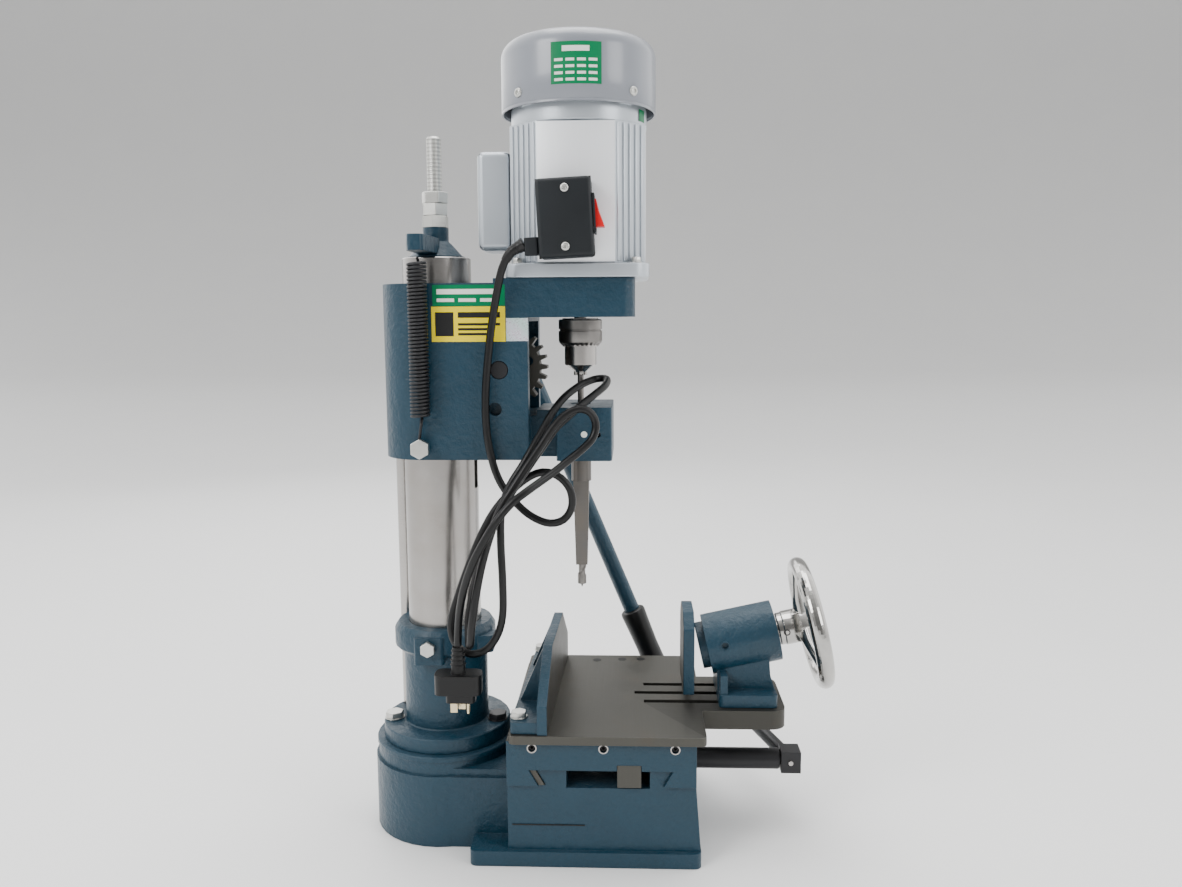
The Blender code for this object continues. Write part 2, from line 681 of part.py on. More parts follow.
def tie_rod_and_nuts(mats):
    bottom = DRUM_TOP - TIE_ROD_DEPTH
    chamfer = 1.5 * MM
    profile = [(0, TIE_ROD_TOP), (TIE_ROD_R - chamfer, TIE_ROD_TOP), (TIE_ROD_R, TIE_ROD_TOP - chamfer),
               (TIE_ROD_R, bottom), (0, bottom)]
    made = [dress(turned("tie_rod", profile, sides=32), mats["zinc"])]
    seat = COLUMN_TOP + GAP + CAP_BOSS_H
    for number in range(3):
        low = seat + GAP + number * (TIE_NUT_H + GAP)
        nut = hexagon(f"tie_rod_nut_{number + 1}", (0, 0, low), (0, 0, low + TIE_NUT_H), TIE_NUT_AF)
        nut.data.transform(Matrix.Rotation(math.radians(12 * number), 4, 'Z'))
        hole = rod(f"nut_hole_{number}", (0, 0, low - 1 * MM), (0, 0, low + TIE_NUT_H + 1 * MM),
                   TIE_ROD_R + GAP)
        made.append(dress(cut(nut, hole), mats["zinc"]))
    return made


def guide_rod(mats):
    x, y = GUIDE_ROD_XY
    piece = rod("guide_rod", (x, y, DRUM_TOP + GAP), (x, y, GUIDE_ROD_TOP), GUIDE_ROD_R, sides=16)
    return dress(piece, mats["steel"])


# ---------------------------------------------------------------- head

def spring_bolt_place():
    return Vector((SPRING_XY[0] - 1 * MM, -HEAD_HALF_Y, SPRING_BOLT_Z))


def head_casting(mats):
    left, right = HEAD_X
    plan = ((left, -HEAD_HALF_Y, HEAD_CORNER_R), (right, -HEAD_HALF_Y), (right, HEAD_HALF_Y),
            (left, HEAD_HALF_Y, HEAD_CORNER_R))
    head = plate("head_casting", plan, 'Z', HEAD_Z, steps=9)
    arm = ((right - 30 * MM, -HEAD_HALF_Y), (ARM_END, -HEAD_HALF_Y, ARM_CORNER_R),
           (ARM_END, HEAD_HALF_Y, ARM_CORNER_R), (right - 30 * MM, HEAD_HALF_Y))
    neck = box("bracket_neck", (right - 10 * MM, BRACKET_X[0] + 1 * MM),
               (-BRACKET_NECK_HALF_Y, BRACKET_NECK_HALF_Y), (HEAD_Z[0], BRACKET_Z[1] - 3 * MM))
    bracket = box("bracket", BRACKET_X, (-BRACKET_HALF_Y, BRACKET_HALF_Y), BRACKET_Z, 3 * MM, 2)
    x, y = GUIDE_ROD_XY
    ear = rod("guide_ear", (x, y, HEAD_Z[0]), (x, y, HEAD_Z[0] + 34 * MM), GUIDE_ROD_R + 4.5 * MM,
              sides=32)
    add(head, plate("arm", arm, 'Z', ARM_Z), neck, bracket, ear)
    bore = rod("head_bore", (0, 0, HEAD_Z[0] - 5 * MM), (0, 0, HEAD_Z[1] + 5 * MM),
               COLUMN_R + GAP, sides=36)
    pocket_half = HEAD_HALF_Y - CHEEK_T
    pocket = box("gear_pocket", (COLUMN_R - 12 * MM, right + 5 * MM), (-pocket_half, pocket_half),
                 POCKET_Z)
    shaft_hole = rod("feed_hole", (GEAR_X, -HEAD_HALF_Y - 5 * MM, GEAR_Z),
                     (GEAR_X, HEAD_HALF_Y + 5 * MM, GEAR_Z), FEED_SHAFT_R + GAP)
    plug_hole = rod("plug_hole", (61 * MM, -HEAD_HALF_Y - 1 * MM, 412 * MM),
                    (61 * MM, -HEAD_HALF_Y + 9 * MM, 412 * MM), 6 * MM, sides=20)
    spindle_hole = rod("spindle_hole", (SPINDLE_X, 0, ARM_Z[0] - 5 * MM),
                       (SPINDLE_X, 0, ARM_Z[1] + 5 * MM), 19 * MM)
    chisel_hole = rod("chisel_hole", (SPINDLE_X, 0, BRACKET_Z[0] - 5 * MM),
                      (SPINDLE_X, 0, BRACKET_Z[1] + 5 * MM), CHISEL_SHANK_R + GAP)
    screw_hole = rod("chisel_screw_hole", (SPINDLE_X + 17.5 * MM, -BRACKET_HALF_Y - 1 * MM, 387 * MM),
                     (SPINDLE_X + 17.5 * MM, BRACKET_HALF_Y + 1 * MM, 387 * MM), 2.6 * MM, sides=16)
    guide_hole = rod("guide_ear_hole", (x, y, HEAD_Z[0] - 5 * MM), (x, y, HEAD_Z[1] + 5 * MM),
                     GUIDE_ROD_R + GAP, sides=16)
    seat = spring_bolt_place()
    bolt_hole = rod("spring_bolt_hole", seat - Vector((0, 1 * MM, 0)), seat + Vector((0, 13 * MM, 0)),
                    5 * MM + GAP, sides=16)
    cut(head, bore, pocket, shaft_hole, plug_hole, spindle_hole, chisel_hole, screw_hole, guide_hole,
        bolt_hole)
    return dress(head, mats["paint"])


def spring_bolt(mats):
    place = spring_bolt_place() - Vector((0, 8 * MM, 0))
    return bolt("spring_bolt", place, (0, 1, 0), 16 * MM, 6.4 * MM, 5 * MM, 20 * MM, mats["zinc"])


def return_spring(mats):
    """A coil with a straight tail up to the cap's ear and one down to the bolt."""
    x, y = SPRING_XY
    low, high = SPRING_Z
    steps = 8 * SPRING_TURNS
    points = []
    for step in range(steps + 1):
        angle = 2 * math.pi * step / 8
        height = high - (high - low) * step / steps
        points.append((x + SPRING_R * math.sin(angle), y + SPRING_R * math.cos(angle), height))
    tail = [(x - 2 * MM, y + 2 * MM, low - 4 * MM), (x - 1 * MM, y + 1 * MM, low - 7 * MM),
            (x - 1 * MM, y + 1 * MM, SPRING_BOLT_Z + 11.5 * MM)]
    return dress(wire("return_spring", points + tail, SPRING_WIRE_R, 0), mats["oxide"])


def feed_gear_and_shaft(mats):
    points = [(GEAR_X + x, GEAR_Z + z) for x, z in toothed_wheel(GEAR_MODULE, GEAR_TEETH)]
    gear = plate("feed_gear", points, 'Y', (-GEAR_T / 2, GEAR_T / 2))
    hub_hole = rod("gear_bore", (GEAR_X, -GEAR_T, GEAR_Z), (GEAR_X, GEAR_T, GEAR_Z),
                   FEED_SHAFT_R + GAP)
    cut(gear, hub_hole)
    for number in range(GEAR_HOLES):
        angle = 2 * math.pi * number / GEAR_HOLES + math.radians(15)
        x = GEAR_X + 22 * MM * math.cos(angle)
        z = GEAR_Z + 22 * MM * math.sin(angle)
        cut(gear, rod(f"gear_hole_{number}", (x, -GEAR_T, z), (x, GEAR_T, z), GEAR_HOLE_R, sides=10))
    shaft = rod("feed_shaft", (GEAR_X, -HEAD_HALF_Y + 1 * MM, GEAR_Z),
                (GEAR_X, LEVER_Y + LEVER_HUB_R / 2 + 7 * MM, GEAR_Z), FEED_SHAFT_R)
    return dress(gear, mats["iron"]), dress(shaft, mats["steel"])


def lever_way():
    return Vector((math.sin(LEVER_ANGLE), 0, -math.cos(LEVER_ANGLE)))


def feed_lever(mats):
    centre = Vector((GEAR_X, LEVER_Y, GEAR_Z))
    half = 13 * MM
    hub = rod("feed_lever", centre - Vector((0, half, 0)), centre + Vector((0, half, 0)), LEVER_HUB_R)
    arm = rod("lever_arm", centre + lever_way() * 4 * MM,
              centre + lever_way() * (LEVER_L - 8 * MM), LEVER_R, sides=16)
    add(hub, arm)
    cut(hub, rod("lever_bore", centre - Vector((0, 2 * half, 0)), centre + Vector((0, 2 * half, 0)),
                 FEED_SHAFT_R + GAP))
    start = centre + lever_way() * (LEVER_L - GRIP_L)
    end = centre + lever_way() * LEVER_L
    grip = turned("feed_lever_grip", [(0, 0), (GRIP_R - 2 * MM, 0), (GRIP_R, -2 * MM),
                                      (GRIP_R, -GRIP_L + 2 * MM), (GRIP_R - 2 * MM, -GRIP_L), (0, -GRIP_L)],
                  along(start, start - lever_way()), sides=16)
    cut(grip, rod("grip_bore", start - lever_way() * 5 * MM, end - lever_way() * (8 * MM - GAP),
                  LEVER_R + GAP, sides=16))
    return dress(hub, mats["paint"]), dress(grip, mats["black"])


# ---------------------------------------------------------------- motor, spindle and switch

def at_spindle(z=0.0):
    return Matrix.Translation((SPINDLE_X, 0, z))


def flange_low():
    return ARM_Z[1] + GAP


def flange_top():
    return flange_low() + FLANGE_T


def motor_flange(mats):
    low = flange_low()
    top = flange_top()
    x = (SPINDLE_X - FLANGE_HALF, SPINDLE_X + FLANGE_HALF)
    piece = box("motor_flange", x, (-FLANGE_HALF, FLANGE_HALF), (low, top), 16 * MM, 5)
    add(piece, rod("bearing_seat", (SPINDLE_X, 0, low + 1 * MM), (SPINDLE_X, 0, top + 6 * MM), 24 * MM))
    cut(piece, rod("flange_pocket", (SPINDLE_X, 0, low + 4 * MM), (SPINDLE_X, 0, top + 20 * MM),
                   BEARING_R + GAP),
        rod("flange_bore", (SPINDLE_X, 0, low - 2 * MM), (SPINDLE_X, 0, top + 2 * MM), SHAFT_R + 2 * MM))
    return dress(piece, mats["alloy"])


def bearing(name, low, mats):
    piece = ring(name, SPINDLE_X, 0, (low, low + BEARING_T), SHAFT_R + GAP, BEARING_R, 24)
    return dress(piece, mats["steel"])


def motor_housing(mats):
    h, f = HOUSING_HALF, HOUSING_FLAT
    flats = ((-f, -h), (f, -h), (h, -f), (h, f), (f, h), (-f, h), (-h, f), (-h, -f))
    points = [(SPINDLE_X + x, y, 2 * MM) for x, y in flats]
    piece = plate("motor_housing", points, 'Z', (flange_top() + GAP, HOUSING_TOP), steps=2)
    cut(piece, rod("housing_bore", (SPINDLE_X, 0, flange_top() - 5 * MM),
                   (SPINDLE_X, 0, HOUSING_TOP + 5 * MM), HOUSING_BORE_R, sides=32))
    return dress(piece, mats["alloy"])


def motor_stator(mats):
    low, high = ROTOR_Z
    piece = ring("motor_stator", SPINDLE_X, 0, (low, high), STATOR_R, HOUSING_BORE_R - GAP, 32)
    return dress(piece, mats["copper"])


def motor_top_bell(mats):
    low = HOUSING_TOP + GAP
    seat = SHAFT_R + 4 * MM
    profile = [(seat, BELL_TOP), (BELL_R, BELL_TOP), (BELL_R, low), (BEARING_R + GAP, low),
               (BEARING_R + GAP, low + BEARING_T + GAP), (seat, low + BEARING_T + GAP)]
    bell = turned("motor_top_bell", profile, at_spindle(), sides=32, closed=True)
    for number in range(4):
        turn = Matrix.Rotation(math.radians(45 + 90 * number), 4, 'Z')
        lug = box(f"bell_lug_{number}", (BELL_R - 8 * MM, COVER_R - COVER_WALL - 5 * GAP),
                  (-6 * MM, 6 * MM), (BELL_TOP - 2 * MM, BELL_TOP + 12 * MM))
        lug.data.transform(at_spindle() @ turn)
        add(bell, lug)
    return dress(bell, mats["alloy"])


def fan_cover(mats):
    low, high = COVER_Z
    outer = COVER_R
    inner = COVER_R - COVER_WALL
    bend = COVER_SHOULDER
    dome = high - COVER_DOME
    outside = [(0, high), (outer / 2, high - COVER_DOME / 3)]
    inside = []
    for step in range(4):
        angle = math.radians(90 - 30 * step)
        outside.append((outer - bend + bend * math.cos(angle),
                        dome - bend + bend * math.sin(angle)))
        inside.append((inner - bend + bend * math.cos(angle),
                       dome - COVER_WALL - bend + bend * math.sin(angle)))
    profile = outside + [(outer, low), (inner, low)] + inside[::-1]
    profile += [(outer / 2, high - COVER_DOME / 3 - COVER_WALL), (0, high - COVER_WALL)]
    return dress(turned("fan_cover", profile, at_spindle(), sides=32), mats["grey"])


def cooling_fan(mats):
    low = BELL_TOP + 4 * MM
    hub = ring("cooling_fan", SPINDLE_X, 0, (low, low + 14 * MM), SHAFT_R + GAP, 14 * MM, 16)
    add(hub, ring("fan_disc", SPINDLE_X, 0, (low, low + 2.5 * MM), SHAFT_R + 2 * MM, FAN_R, 24))
    for number in range(FAN_BLADES):
        turn = Matrix.Rotation(2 * math.pi * number / FAN_BLADES, 4, 'Z')
        blade = box(f"blade_{number}", (12 * MM, FAN_R - 1 * MM), (-1.2 * MM, 1.2 * MM),
                    (low + 1 * MM, low + 22 * MM))
        blade.data.transform(at_spindle() @ turn)
        add(hub, blade)
    return dress(hub, mats["black"])


def rotor_shaft(mats):
    top = BELL_TOP + 20 * MM
    arbor = 6 * MM
    low, high = ROTOR_Z
    profile = [(0, top), (SHAFT_R, top), (SHAFT_R, high), (ROTOR_R, high), (ROTOR_R, low),
               (SHAFT_R, low), (SHAFT_R, CHUCK_TOP + 3 * MM), (arbor, CHUCK_TOP + 3 * MM),
               (arbor - 0.6 * MM, CHUCK_TOP - 14 * MM), (0, CHUCK_TOP - 14 * MM)]
    return dress(turned("rotor_shaft", profile, at_spindle(), sides=32), mats["steel"])


def chuck_body(mats):
    """The chuck's core with its three jaws closed on the bit; the sleeve turns round it."""
    core = CHUCK_SLEEVE_R - 3.5 * MM
    sleeve_low = CHUCK_TOP - CHUCK_SLEEVE_H
    bore = BIT_SHANK_R + GAP
    arbor = 6 * MM + 2 * GAP
    floor = CHUCK_TOP - 15 * MM
    profile = [(arbor, CHUCK_TOP), (core, CHUCK_TOP), (core, sleeve_low - 1 * MM),
               (CHUCK_NOSE_R, sleeve_low - 1 * MM), (CHUCK_NOSE_R, CHUCK_NOSE_BOTTOM),
               (6.5 * MM, JAW_BOTTOM + 1 * MM), (5.5 * MM, JAW_BOTTOM), (bore, JAW_BOTTOM),
               (bore, floor - 8 * MM), (arbor, floor - 8 * MM)]
    return dress(turned("chuck_body", profile, at_spindle(), sides=24, closed=True), mats["steel"])


def chuck_sleeve(mats):
    low = CHUCK_TOP - CHUCK_SLEEVE_H
    mid = CHUCK_TOP - 10.5 * MM
    groove = 1.2 * MM
    r = CHUCK_SLEEVE_R
    inner = r - 3.5 * MM + GAP
    profile = [(inner, CHUCK_TOP - 1 * MM), (r - 1 * MM, CHUCK_TOP - 1 * MM), (r, CHUCK_TOP - 2 * MM),
               (r, mid + groove / 2), (r - groove, mid + groove / 2), (r - groove, mid - groove / 2),
               (r, mid - groove / 2), (r, low + 1 * MM), (r - 1 * MM, low), (inner, low)]
    return dress(turned("chuck_sleeve", profile, at_spindle(), sides=24, closed=True), mats["steel"])


def auger_bit(mats):
    shank = BIT_SHANK_R
    cutter = CHISEL_SIDE / 2 - 1.3 * MM
    profile = [(0, JAW_BOTTOM + 26 * MM), (shank, JAW_BOTTOM + 26 * MM), (shank, CHISEL_TIP + 30 * MM),
               (cutter - 1 * MM, CHISEL_TIP + 26 * MM), (cutter - 1 * MM, BIT_TIP + 14 * MM),
               (cutter, BIT_TIP + 12 * MM), (cutter, BIT_TIP + 4 * MM), (1.2 * MM, BIT_TIP + 3 * MM),
               (0, BIT_TIP)]
    return dress(turned("auger_bit", profile, at_spindle(), sides=16), mats["steel"])


def chisel(mats):
    low, high = CHISEL_SHANK_Z
    inner = CHISEL_SIDE / 2 - 0.8 * MM
    half = CHISEL_SIDE / 2
    piece = rod("chisel", (SPINDLE_X, 0, low), (SPINDLE_X, 0, high), CHISEL_SHANK_R)
    bm = bmesh.new()
    bmesh.ops.create_cone(bm, cap_ends=True, segments=4, radius1=half * math.sqrt(2),
                          radius2=(half + 2 * MM) * math.sqrt(2), depth=low + 1 * MM - CHISEL_TIP,
                          matrix=at_spindle((low + 1 * MM + CHISEL_TIP) / 2)
                          @ Matrix.Rotation(math.radians(45), 4, 'Z'))
    add(piece, mesh_from("chisel_square", bm))
    cut(piece, rod("chisel_bore", (SPINDLE_X, 0, CHISEL_TIP - 5 * MM), (SPINDLE_X, 0, high + 5 * MM),
                   inner, sides=16),
        box("chip_window", (SPINDLE_X, SPINDLE_X + 20 * MM), (-3.2 * MM, 3.2 * MM),
            (CHISEL_TIP + 22 * MM, CHISEL_TIP + 62 * MM)))
    return dress(piece, mats["iron"])


def capacitor_box(mats):
    x = (CAPACITOR_X, SPINDLE_X - HOUSING_HALF - GAP)
    y = (-CAPACITOR_HALF_Y, CAPACITOR_HALF_Y)
    piece = box("capacitor_box", x, y, CAPACITOR_Z, 0)
    bevel = piece.modifiers.new("soft", 'BEVEL')
    bevel.width = 6 * MM
    bevel.segments = 3
    wall = 2 * MM
    cut(piece, box("capacitor_room", (x[0] + wall, x[1] + 10 * MM), (y[0] + wall, y[1] - wall),
                   (CAPACITOR_Z[0] + wall, CAPACITOR_Z[1] - wall)))
    return dress(piece, mats["grey"])


def switch_tilt():
    """The switch box hangs a little askew on its two screws."""
    middle = (sum(SWITCH_X) / 2, 0, sum(SWITCH_Z) / 2)
    centre = Matrix.Translation(middle)
    return centre @ Matrix.Rotation(SWITCH_TILT, 4, 'Y') @ centre.inverted()


def switch_pieces(mats):
    """The switch box, its rocker frame, the rocker and the cord's relief, all tilted together."""
    wall = SWITCH_WALL
    inside = [(low + wall, high - wall) for low, high in (SWITCH_X, SWITCH_Y, SWITCH_Z)]
    case = box("switch_box", SWITCH_X, SWITCH_Y, SWITCH_Z)
    cut(case, box("switch_room", inside[0], (inside[1][0], SWITCH_Y[1] + 10 * MM), inside[2]))
    right = SWITCH_X[1]
    opening = (ROCKER_Z - ROCKER_HALF_H - GAP, ROCKER_Z + ROCKER_HALF_H + GAP)
    opening_y = (ROCKER_Y[0] - GAP, ROCKER_Y[1] + GAP)
    cut(case, box("switch_hole", (right - 5 * MM, right + 5 * MM), opening_y, opening))
    frame = box("rocker_frame", (right + GAP, right + 2.3 * MM),
                (opening_y[0] - 2.5 * MM, opening_y[1] + 2.5 * MM),
                (opening[0] - 3 * MM, opening[1] + 3 * MM))
    cut(frame, box("frame_hole", (right - 5 * MM, right + 5 * MM), opening_y, opening))
    side = ((3.5, 12.4), (5.5, 2), (9.8, -11.8), (-1.5, -11.2), (-3.5, 0), (-1.5, 11.2))
    points = [(right + x * MM, ROCKER_Z + z * MM) for x, z in side]
    rocker = plate("rocker_button", points, 'Y', ROCKER_Y)
    left = SWITCH_X[0]
    relief = box("strain_relief", (left - 12.3 * MM, left - GAP), (-84.5 * MM, -71.5 * MM),
                 (547.5 * MM, 562.5 * MM), 2 * MM, 2)
    tilt = switch_tilt()
    for obj in [case, frame, rocker, relief] + [m.object for o in (case, frame) for m in o.modifiers]:
        obj.data.transform(tilt)
    dress(rocker, mats["red"])
    return [dress(obj, mats["black"]) for obj in (case, frame, relief)], rocker


# ---------------------------------------------------------------- cord and plug

def smooth_route(points, count):
    """Evenly spaced points on a Catmull-Rom curve through the given ones."""
    ends = [points[0] * 2 - points[1]] + points + [points[-1] * 2 - points[-2]]
    fine = []
    for i in range(1, len(ends) - 2):
        a, b, c, d = ends[i - 1:i + 3]
        for k in range(16):
            t = k / 16
            fine.append((b * 2 + (c - a) * t + (a * 2 - b * 5 + c * 4 - d) * t * t
                         + (b * 3 - a - c * 3 + d) * t ** 3) / 2)
    fine.append(points[-1])
    reach = [0.0]
    for a, b in zip(fine, fine[1:]):
        reach.append(reach[-1] + (b - a).length)
    out = []
    i = 0
    for step in range(count):
        want = reach[-1] * step / (count - 1)
        while i < len(fine) - 2 and reach[i + 1] < want:
            i += 1
        part = (want - reach[i]) / (reach[i + 1] - reach[i])
        out.append(fine[i].lerp(fine[i + 1], min(max(part, 0.0), 1.0)))
    return out


def power_cord(mats):
    route = [Vector(point) * MM for point in CORD_ROUTE]
    return dress(wire("power_cord", smooth_route(route, CORD_POINTS), CORD_R, 1), mats["black"])


def plug_pieces(mats):
    low, high = PLUG_BODY_Z
    body = box("plug_body", (PLUG_X - PLUG_HALF_X, PLUG_X + PLUG_HALF_X),
               (PLUG_Y - PLUG_HALF_Y, PLUG_Y + PLUG_HALF_Y), (low, high), 7 * MM, 4)
    neck = rod("plug_neck", (PLUG_X, PLUG_Y, high - 1 * MM), (PLUG_X, PLUG_Y, PLUG_NECK_TOP - GAP),
               7 * MM, 5 * MM, sides=20)
    nose = box("plug_nose", (PLUG_X - 11 * MM, PLUG_X + 15 * MM), (PLUG_Y - 8 * MM, PLUG_Y + 8 * MM),
               (low - 8 * MM, low + 1 * MM), 4 * MM, 3)
    add(body, neck, nose)
    made = [dress(body, mats["black"])]
    pins = ((-4, -3, 3.2, 0.8), (9, -3, 1.0, 3.0), (2, 5, 3.2, 0.8))
    for number, (dx, dy, half_x, half_y) in enumerate(pins):
        x = PLUG_X + dx * MM
        y = PLUG_Y + dy * MM
        pin = box(f"plug_pin_{number + 1}", (x - half_x * MM, x + half_x * MM),
                  (y - half_y * MM, y + half_y * MM), (PIN_TIP, low - 8 * MM - GAP))
        made.append(dress(pin, mats["brass"]))
    return made


# ---------------------------------------------------------------- table, fence and vise

def table_saddle(mats):
    top = TABLE_TOP
    slab = box("table_saddle", TABLE_X, (-TABLE_HALF_Y, TABLE_HALF_Y), (top - TABLE_SLAB_T, top), 5 * MM, 3)
    body = box("saddle_body", PEDESTAL_X, (-SADDLE_HALF_Y, SADDLE_HALF_Y),
               (PEDESTAL_TOP + GAP, top - TABLE_SLAB_T + 1 * MM))
    tongue_points = ((TABLE_X[1] - 20 * MM, -TONGUE_HALF_Y), (TONGUE_X, -TONGUE_HALF_Y, 14 * MM),
                     (TONGUE_X, TONGUE_HALF_Y, 14 * MM), (TABLE_X[1] - 20 * MM, TONGUE_HALF_Y))
    tongue = plate("tongue", tongue_points, 'Z', (top - TONGUE_T, top))
    add(slab, body, tongue)
    reach = 2 * SADDLE_HALF_Y
    wide = dovetail(PEDESTAL_TOP - 2 * MM, PEDESTAL_TOP + DOVETAIL_H + GAP, GAP)
    left = GIB_T + GAP
    groove = plate("groove", ((wide[0][0] - left, wide[0][1]), wide[1], wide[2],
                              (wide[3][0] - left, wide[3][1])),
                   'Y', (-reach, reach))
    rack_room = box("rack_room", (RACK_BAR_X[0] - GAP, RACK_BAR_X[1] + GAP), (-reach, reach),
                    (PEDESTAL_TOP, rack_bar_top() + GAP))
    cut(slab, groove, rack_room)
    for number, (start, y) in enumerate(TABLE_SLOTS):
        cut(slab, box(f"table_slot_{number}", (start, TABLE_SLOT_END),
                      (y - TABLE_SLOT_W / 2, y + TABLE_SLOT_W / 2), (top - TONGUE_T - 5 * MM, top + 5 * MM)))
    hole_places = [(x * MM, 112 * MM) for x in (94, 158, 222)]
    for number, (x, z) in enumerate(hole_places):
        cut(slab, rod(f"end_hole_{number}", (x, -SADDLE_HALF_Y - 1 * MM, z),
                      (x, -SADDLE_HALF_Y + 14 * MM, z), 3.4 * MM, sides=16))
    bolt_x, bolt_y = FENCE_BOLT
    for number, sign in enumerate((-1, 1)):
        place = fence_turn() @ Vector((bolt_x, sign * bolt_y, 0))
        cut(slab, rod(f"fence_tap_{number}", (place.x, place.y, top - 5.5 * MM),
                      (place.x, place.y, top + 5 * MM), 4 * MM + GAP, sides=16))
    return dress(slab, mats["iron"])


def gib(mats):
    wide = dovetail(PEDESTAL_TOP + 2 * GAP, PEDESTAL_TOP + DOVETAIL_H - GAP, GAP)
    lean = (DOVETAIL_H - 3 * GAP) * DOVETAIL_SLOPE
    low = wide[0][1]
    high = wide[3][1]
    right_high = DOVETAIL_X[0] + GAP * DOVETAIL_SLOPE - GAP
    points = ((right_high + lean - GIB_T, low), (right_high + lean, low), (right_high, high),
              (right_high - GIB_T, high))
    ends = (-SADDLE_HALF_Y + 2 * MM, SADDLE_HALF_Y - 2 * MM)
    return dress(plate("gib", points, 'Y', ends), mats["steel"])


def rack_bar_low():
    return TRAVERSE_Z + TRAVERSE_R + 1.5 * MM


def rack_bar_top():
    return rack_bar_low() + RACK_BAR_H


def table_rack(mats):
    low = rack_bar_low()
    top = rack_bar_top()
    module = 1.5 * MM
    half = SADDLE_HALF_Y - 1 * MM
    teeth = toothed_edge(module, -half + 12 * MM, half - 12 * MM, low, 1)
    points = [(-half, low)] + teeth + [(half, low), (half, top), (-half, top)]
    return dress(plate("table_rack", points, 'X', RACK_BAR_X), mats["iron"])


def fence_turn():
    """The fence stands a little skewed on its bolts, round its own middle."""
    centre = Matrix.Translation((FENCE_FACE_X, 0, 0))
    return centre @ Matrix.Rotation(FENCE_SKEW, 4, 'Z') @ centre.inverted()


def fence(mats):
    low = TABLE_TOP + GAP
    half = TABLE_HALF_Y - 1 * MM
    turn = fence_turn()
    side = ((-half, low), (half, low), (half, low + FENCE_SHOULDER), (FENCE_TOP_HALF, low + FENCE_H),
            (-FENCE_TOP_HALF, low + FENCE_H), (-half, low + FENCE_SHOULDER))
    wall = plate("fence", side, 'X', (FENCE_FACE_X - FENCE_T, FENCE_FACE_X), place=turn)
    foot_x = (TABLE_X[0] + 4 * MM, FENCE_FACE_X - 1 * MM)
    foot = box("fence_foot", foot_x, (-half + 2 * MM, half - 2 * MM), (low, low + FENCE_FOOT_T), 3 * MM, 2)
    foot.data.transform(turn)
    add(wall, foot)
    for number, y in enumerate(FENCE_RIB_Y):
        rib = ((foot_x[0] + 2 * MM, low + FENCE_FOOT_T - 1 * MM),
               (FENCE_FACE_X - 1 * MM, low + FENCE_FOOT_T - 1 * MM),
               (FENCE_FACE_X - 1 * MM, low + FENCE_H - 3 * MM),
               (FENCE_FACE_X - FENCE_T, low + FENCE_H - 3 * MM))
        add(wall, plate(f"fence_rib_{number}", rib, 'Y', (y - 4 * MM, y + 4 * MM), place=turn))
    for number, sign in enumerate((-1, 1)):
        place = turn @ Vector((FENCE_BOLT[0] + 1 * MM, sign * FENCE_BOLT[1], 0))
        cut(wall, rod(f"fence_hole_{number}", (place.x, place.y, low - 5 * MM),
                      (place.x, place.y, low + 20 * MM), 4 * MM + 4 * GAP, sides=16))
    return dress(wall, mats["paint"])


def fence_bolts(mats):
    made = []
    for number, sign in enumerate((-1, 1)):
        place = fence_turn() @ Vector((FENCE_BOLT[0], sign * FENCE_BOLT[1], 0))
        seat = (place.x, place.y, TABLE_TOP + 2 * GAP + FENCE_FOOT_T)
        made.append(bolt(f"fence_bolt_{number + 1}", seat, (0, 0, -1), 13 * MM, 5.5 * MM, 4 * MM,
                         FENCE_FOOT_T + 5 * MM, mats["zinc"]))
    return made


def vise_way():
    """Along the vise screw, from the jaw to the handwheel."""
    return Vector((math.cos(VISE_AXIS), 0, math.sin(VISE_AXIS)))


def vise_place(distance):
    """A matrix on the screw's axis with +Z along it, at a distance past the barrel's end."""
    start = BARREL_END + vise_way() * distance
    return along(start, start + vise_way())


def vise_body(mats):
    low = TABLE_TOP + GAP
    half = VISE_FOOT_HALF_Y
    foot = box("vise_body", VISE_FOOT_X, (-half, half), (low, low + VISE_FOOT_T), 4 * MM, 3)
    x0, x1 = VISE_LEG_X
    back = BARREL_END - vise_way() * BARREL_L
    side = ((x0 + 2 * MM, low + 1 * MM), (x1 - 1 * MM, low + 1 * MM), (x1 - 8 * MM, low + 26 * MM),
            (x1 - 10 * MM, BARREL_END.z - 12 * MM), (x0 + 1 * MM, back.z - 12 * MM))
    leg = plate("vise_leg", side, 'Y', (-VISE_LEG_HALF_Y, VISE_LEG_HALF_Y))
    rib = box("vise_rib", (x0 + 3 * MM, x0 + 10 * MM), (-half + 2 * MM, half - 2 * MM),
              (low + 1 * MM, low + 30 * MM))
    barrel = rod("barrel", back, BARREL_END, BARREL_R, sides=32)
    add(foot, leg, rib, barrel)
    bore = rod("quill_bore", back - vise_way() * 5 * MM, BARREL_END - vise_way() * 12 * MM,
               QUILL_R + GAP, sides=28)
    screw = rod("screw_bore", BARREL_END - vise_way() * 20 * MM, BARREL_END + vise_way() * 5 * MM,
                SCREW_R + GAP, sides=16)
    oiler = rod("oil_hole", (back.x + 16 * MM, -BARREL_R - 5 * MM, back.z + 8 * MM),
                (back.x + 16 * MM, -QUILL_R - 3 * MM, back.z + 8 * MM), 3.5 * MM, sides=16)
    cut(foot, bore, screw, oiler)
    for number, sign in enumerate((-1, 1)):
        cut(foot, rod(f"vise_tap_{number}", (VISE_BOLT[0], sign * VISE_BOLT[1], low - 5 * MM),
                      (VISE_BOLT[0], sign * VISE_BOLT[1], low + VISE_FOOT_T - 3 * MM), 3 * MM + GAP,
                      sides=16))
    return dress(foot, mats["paint"])


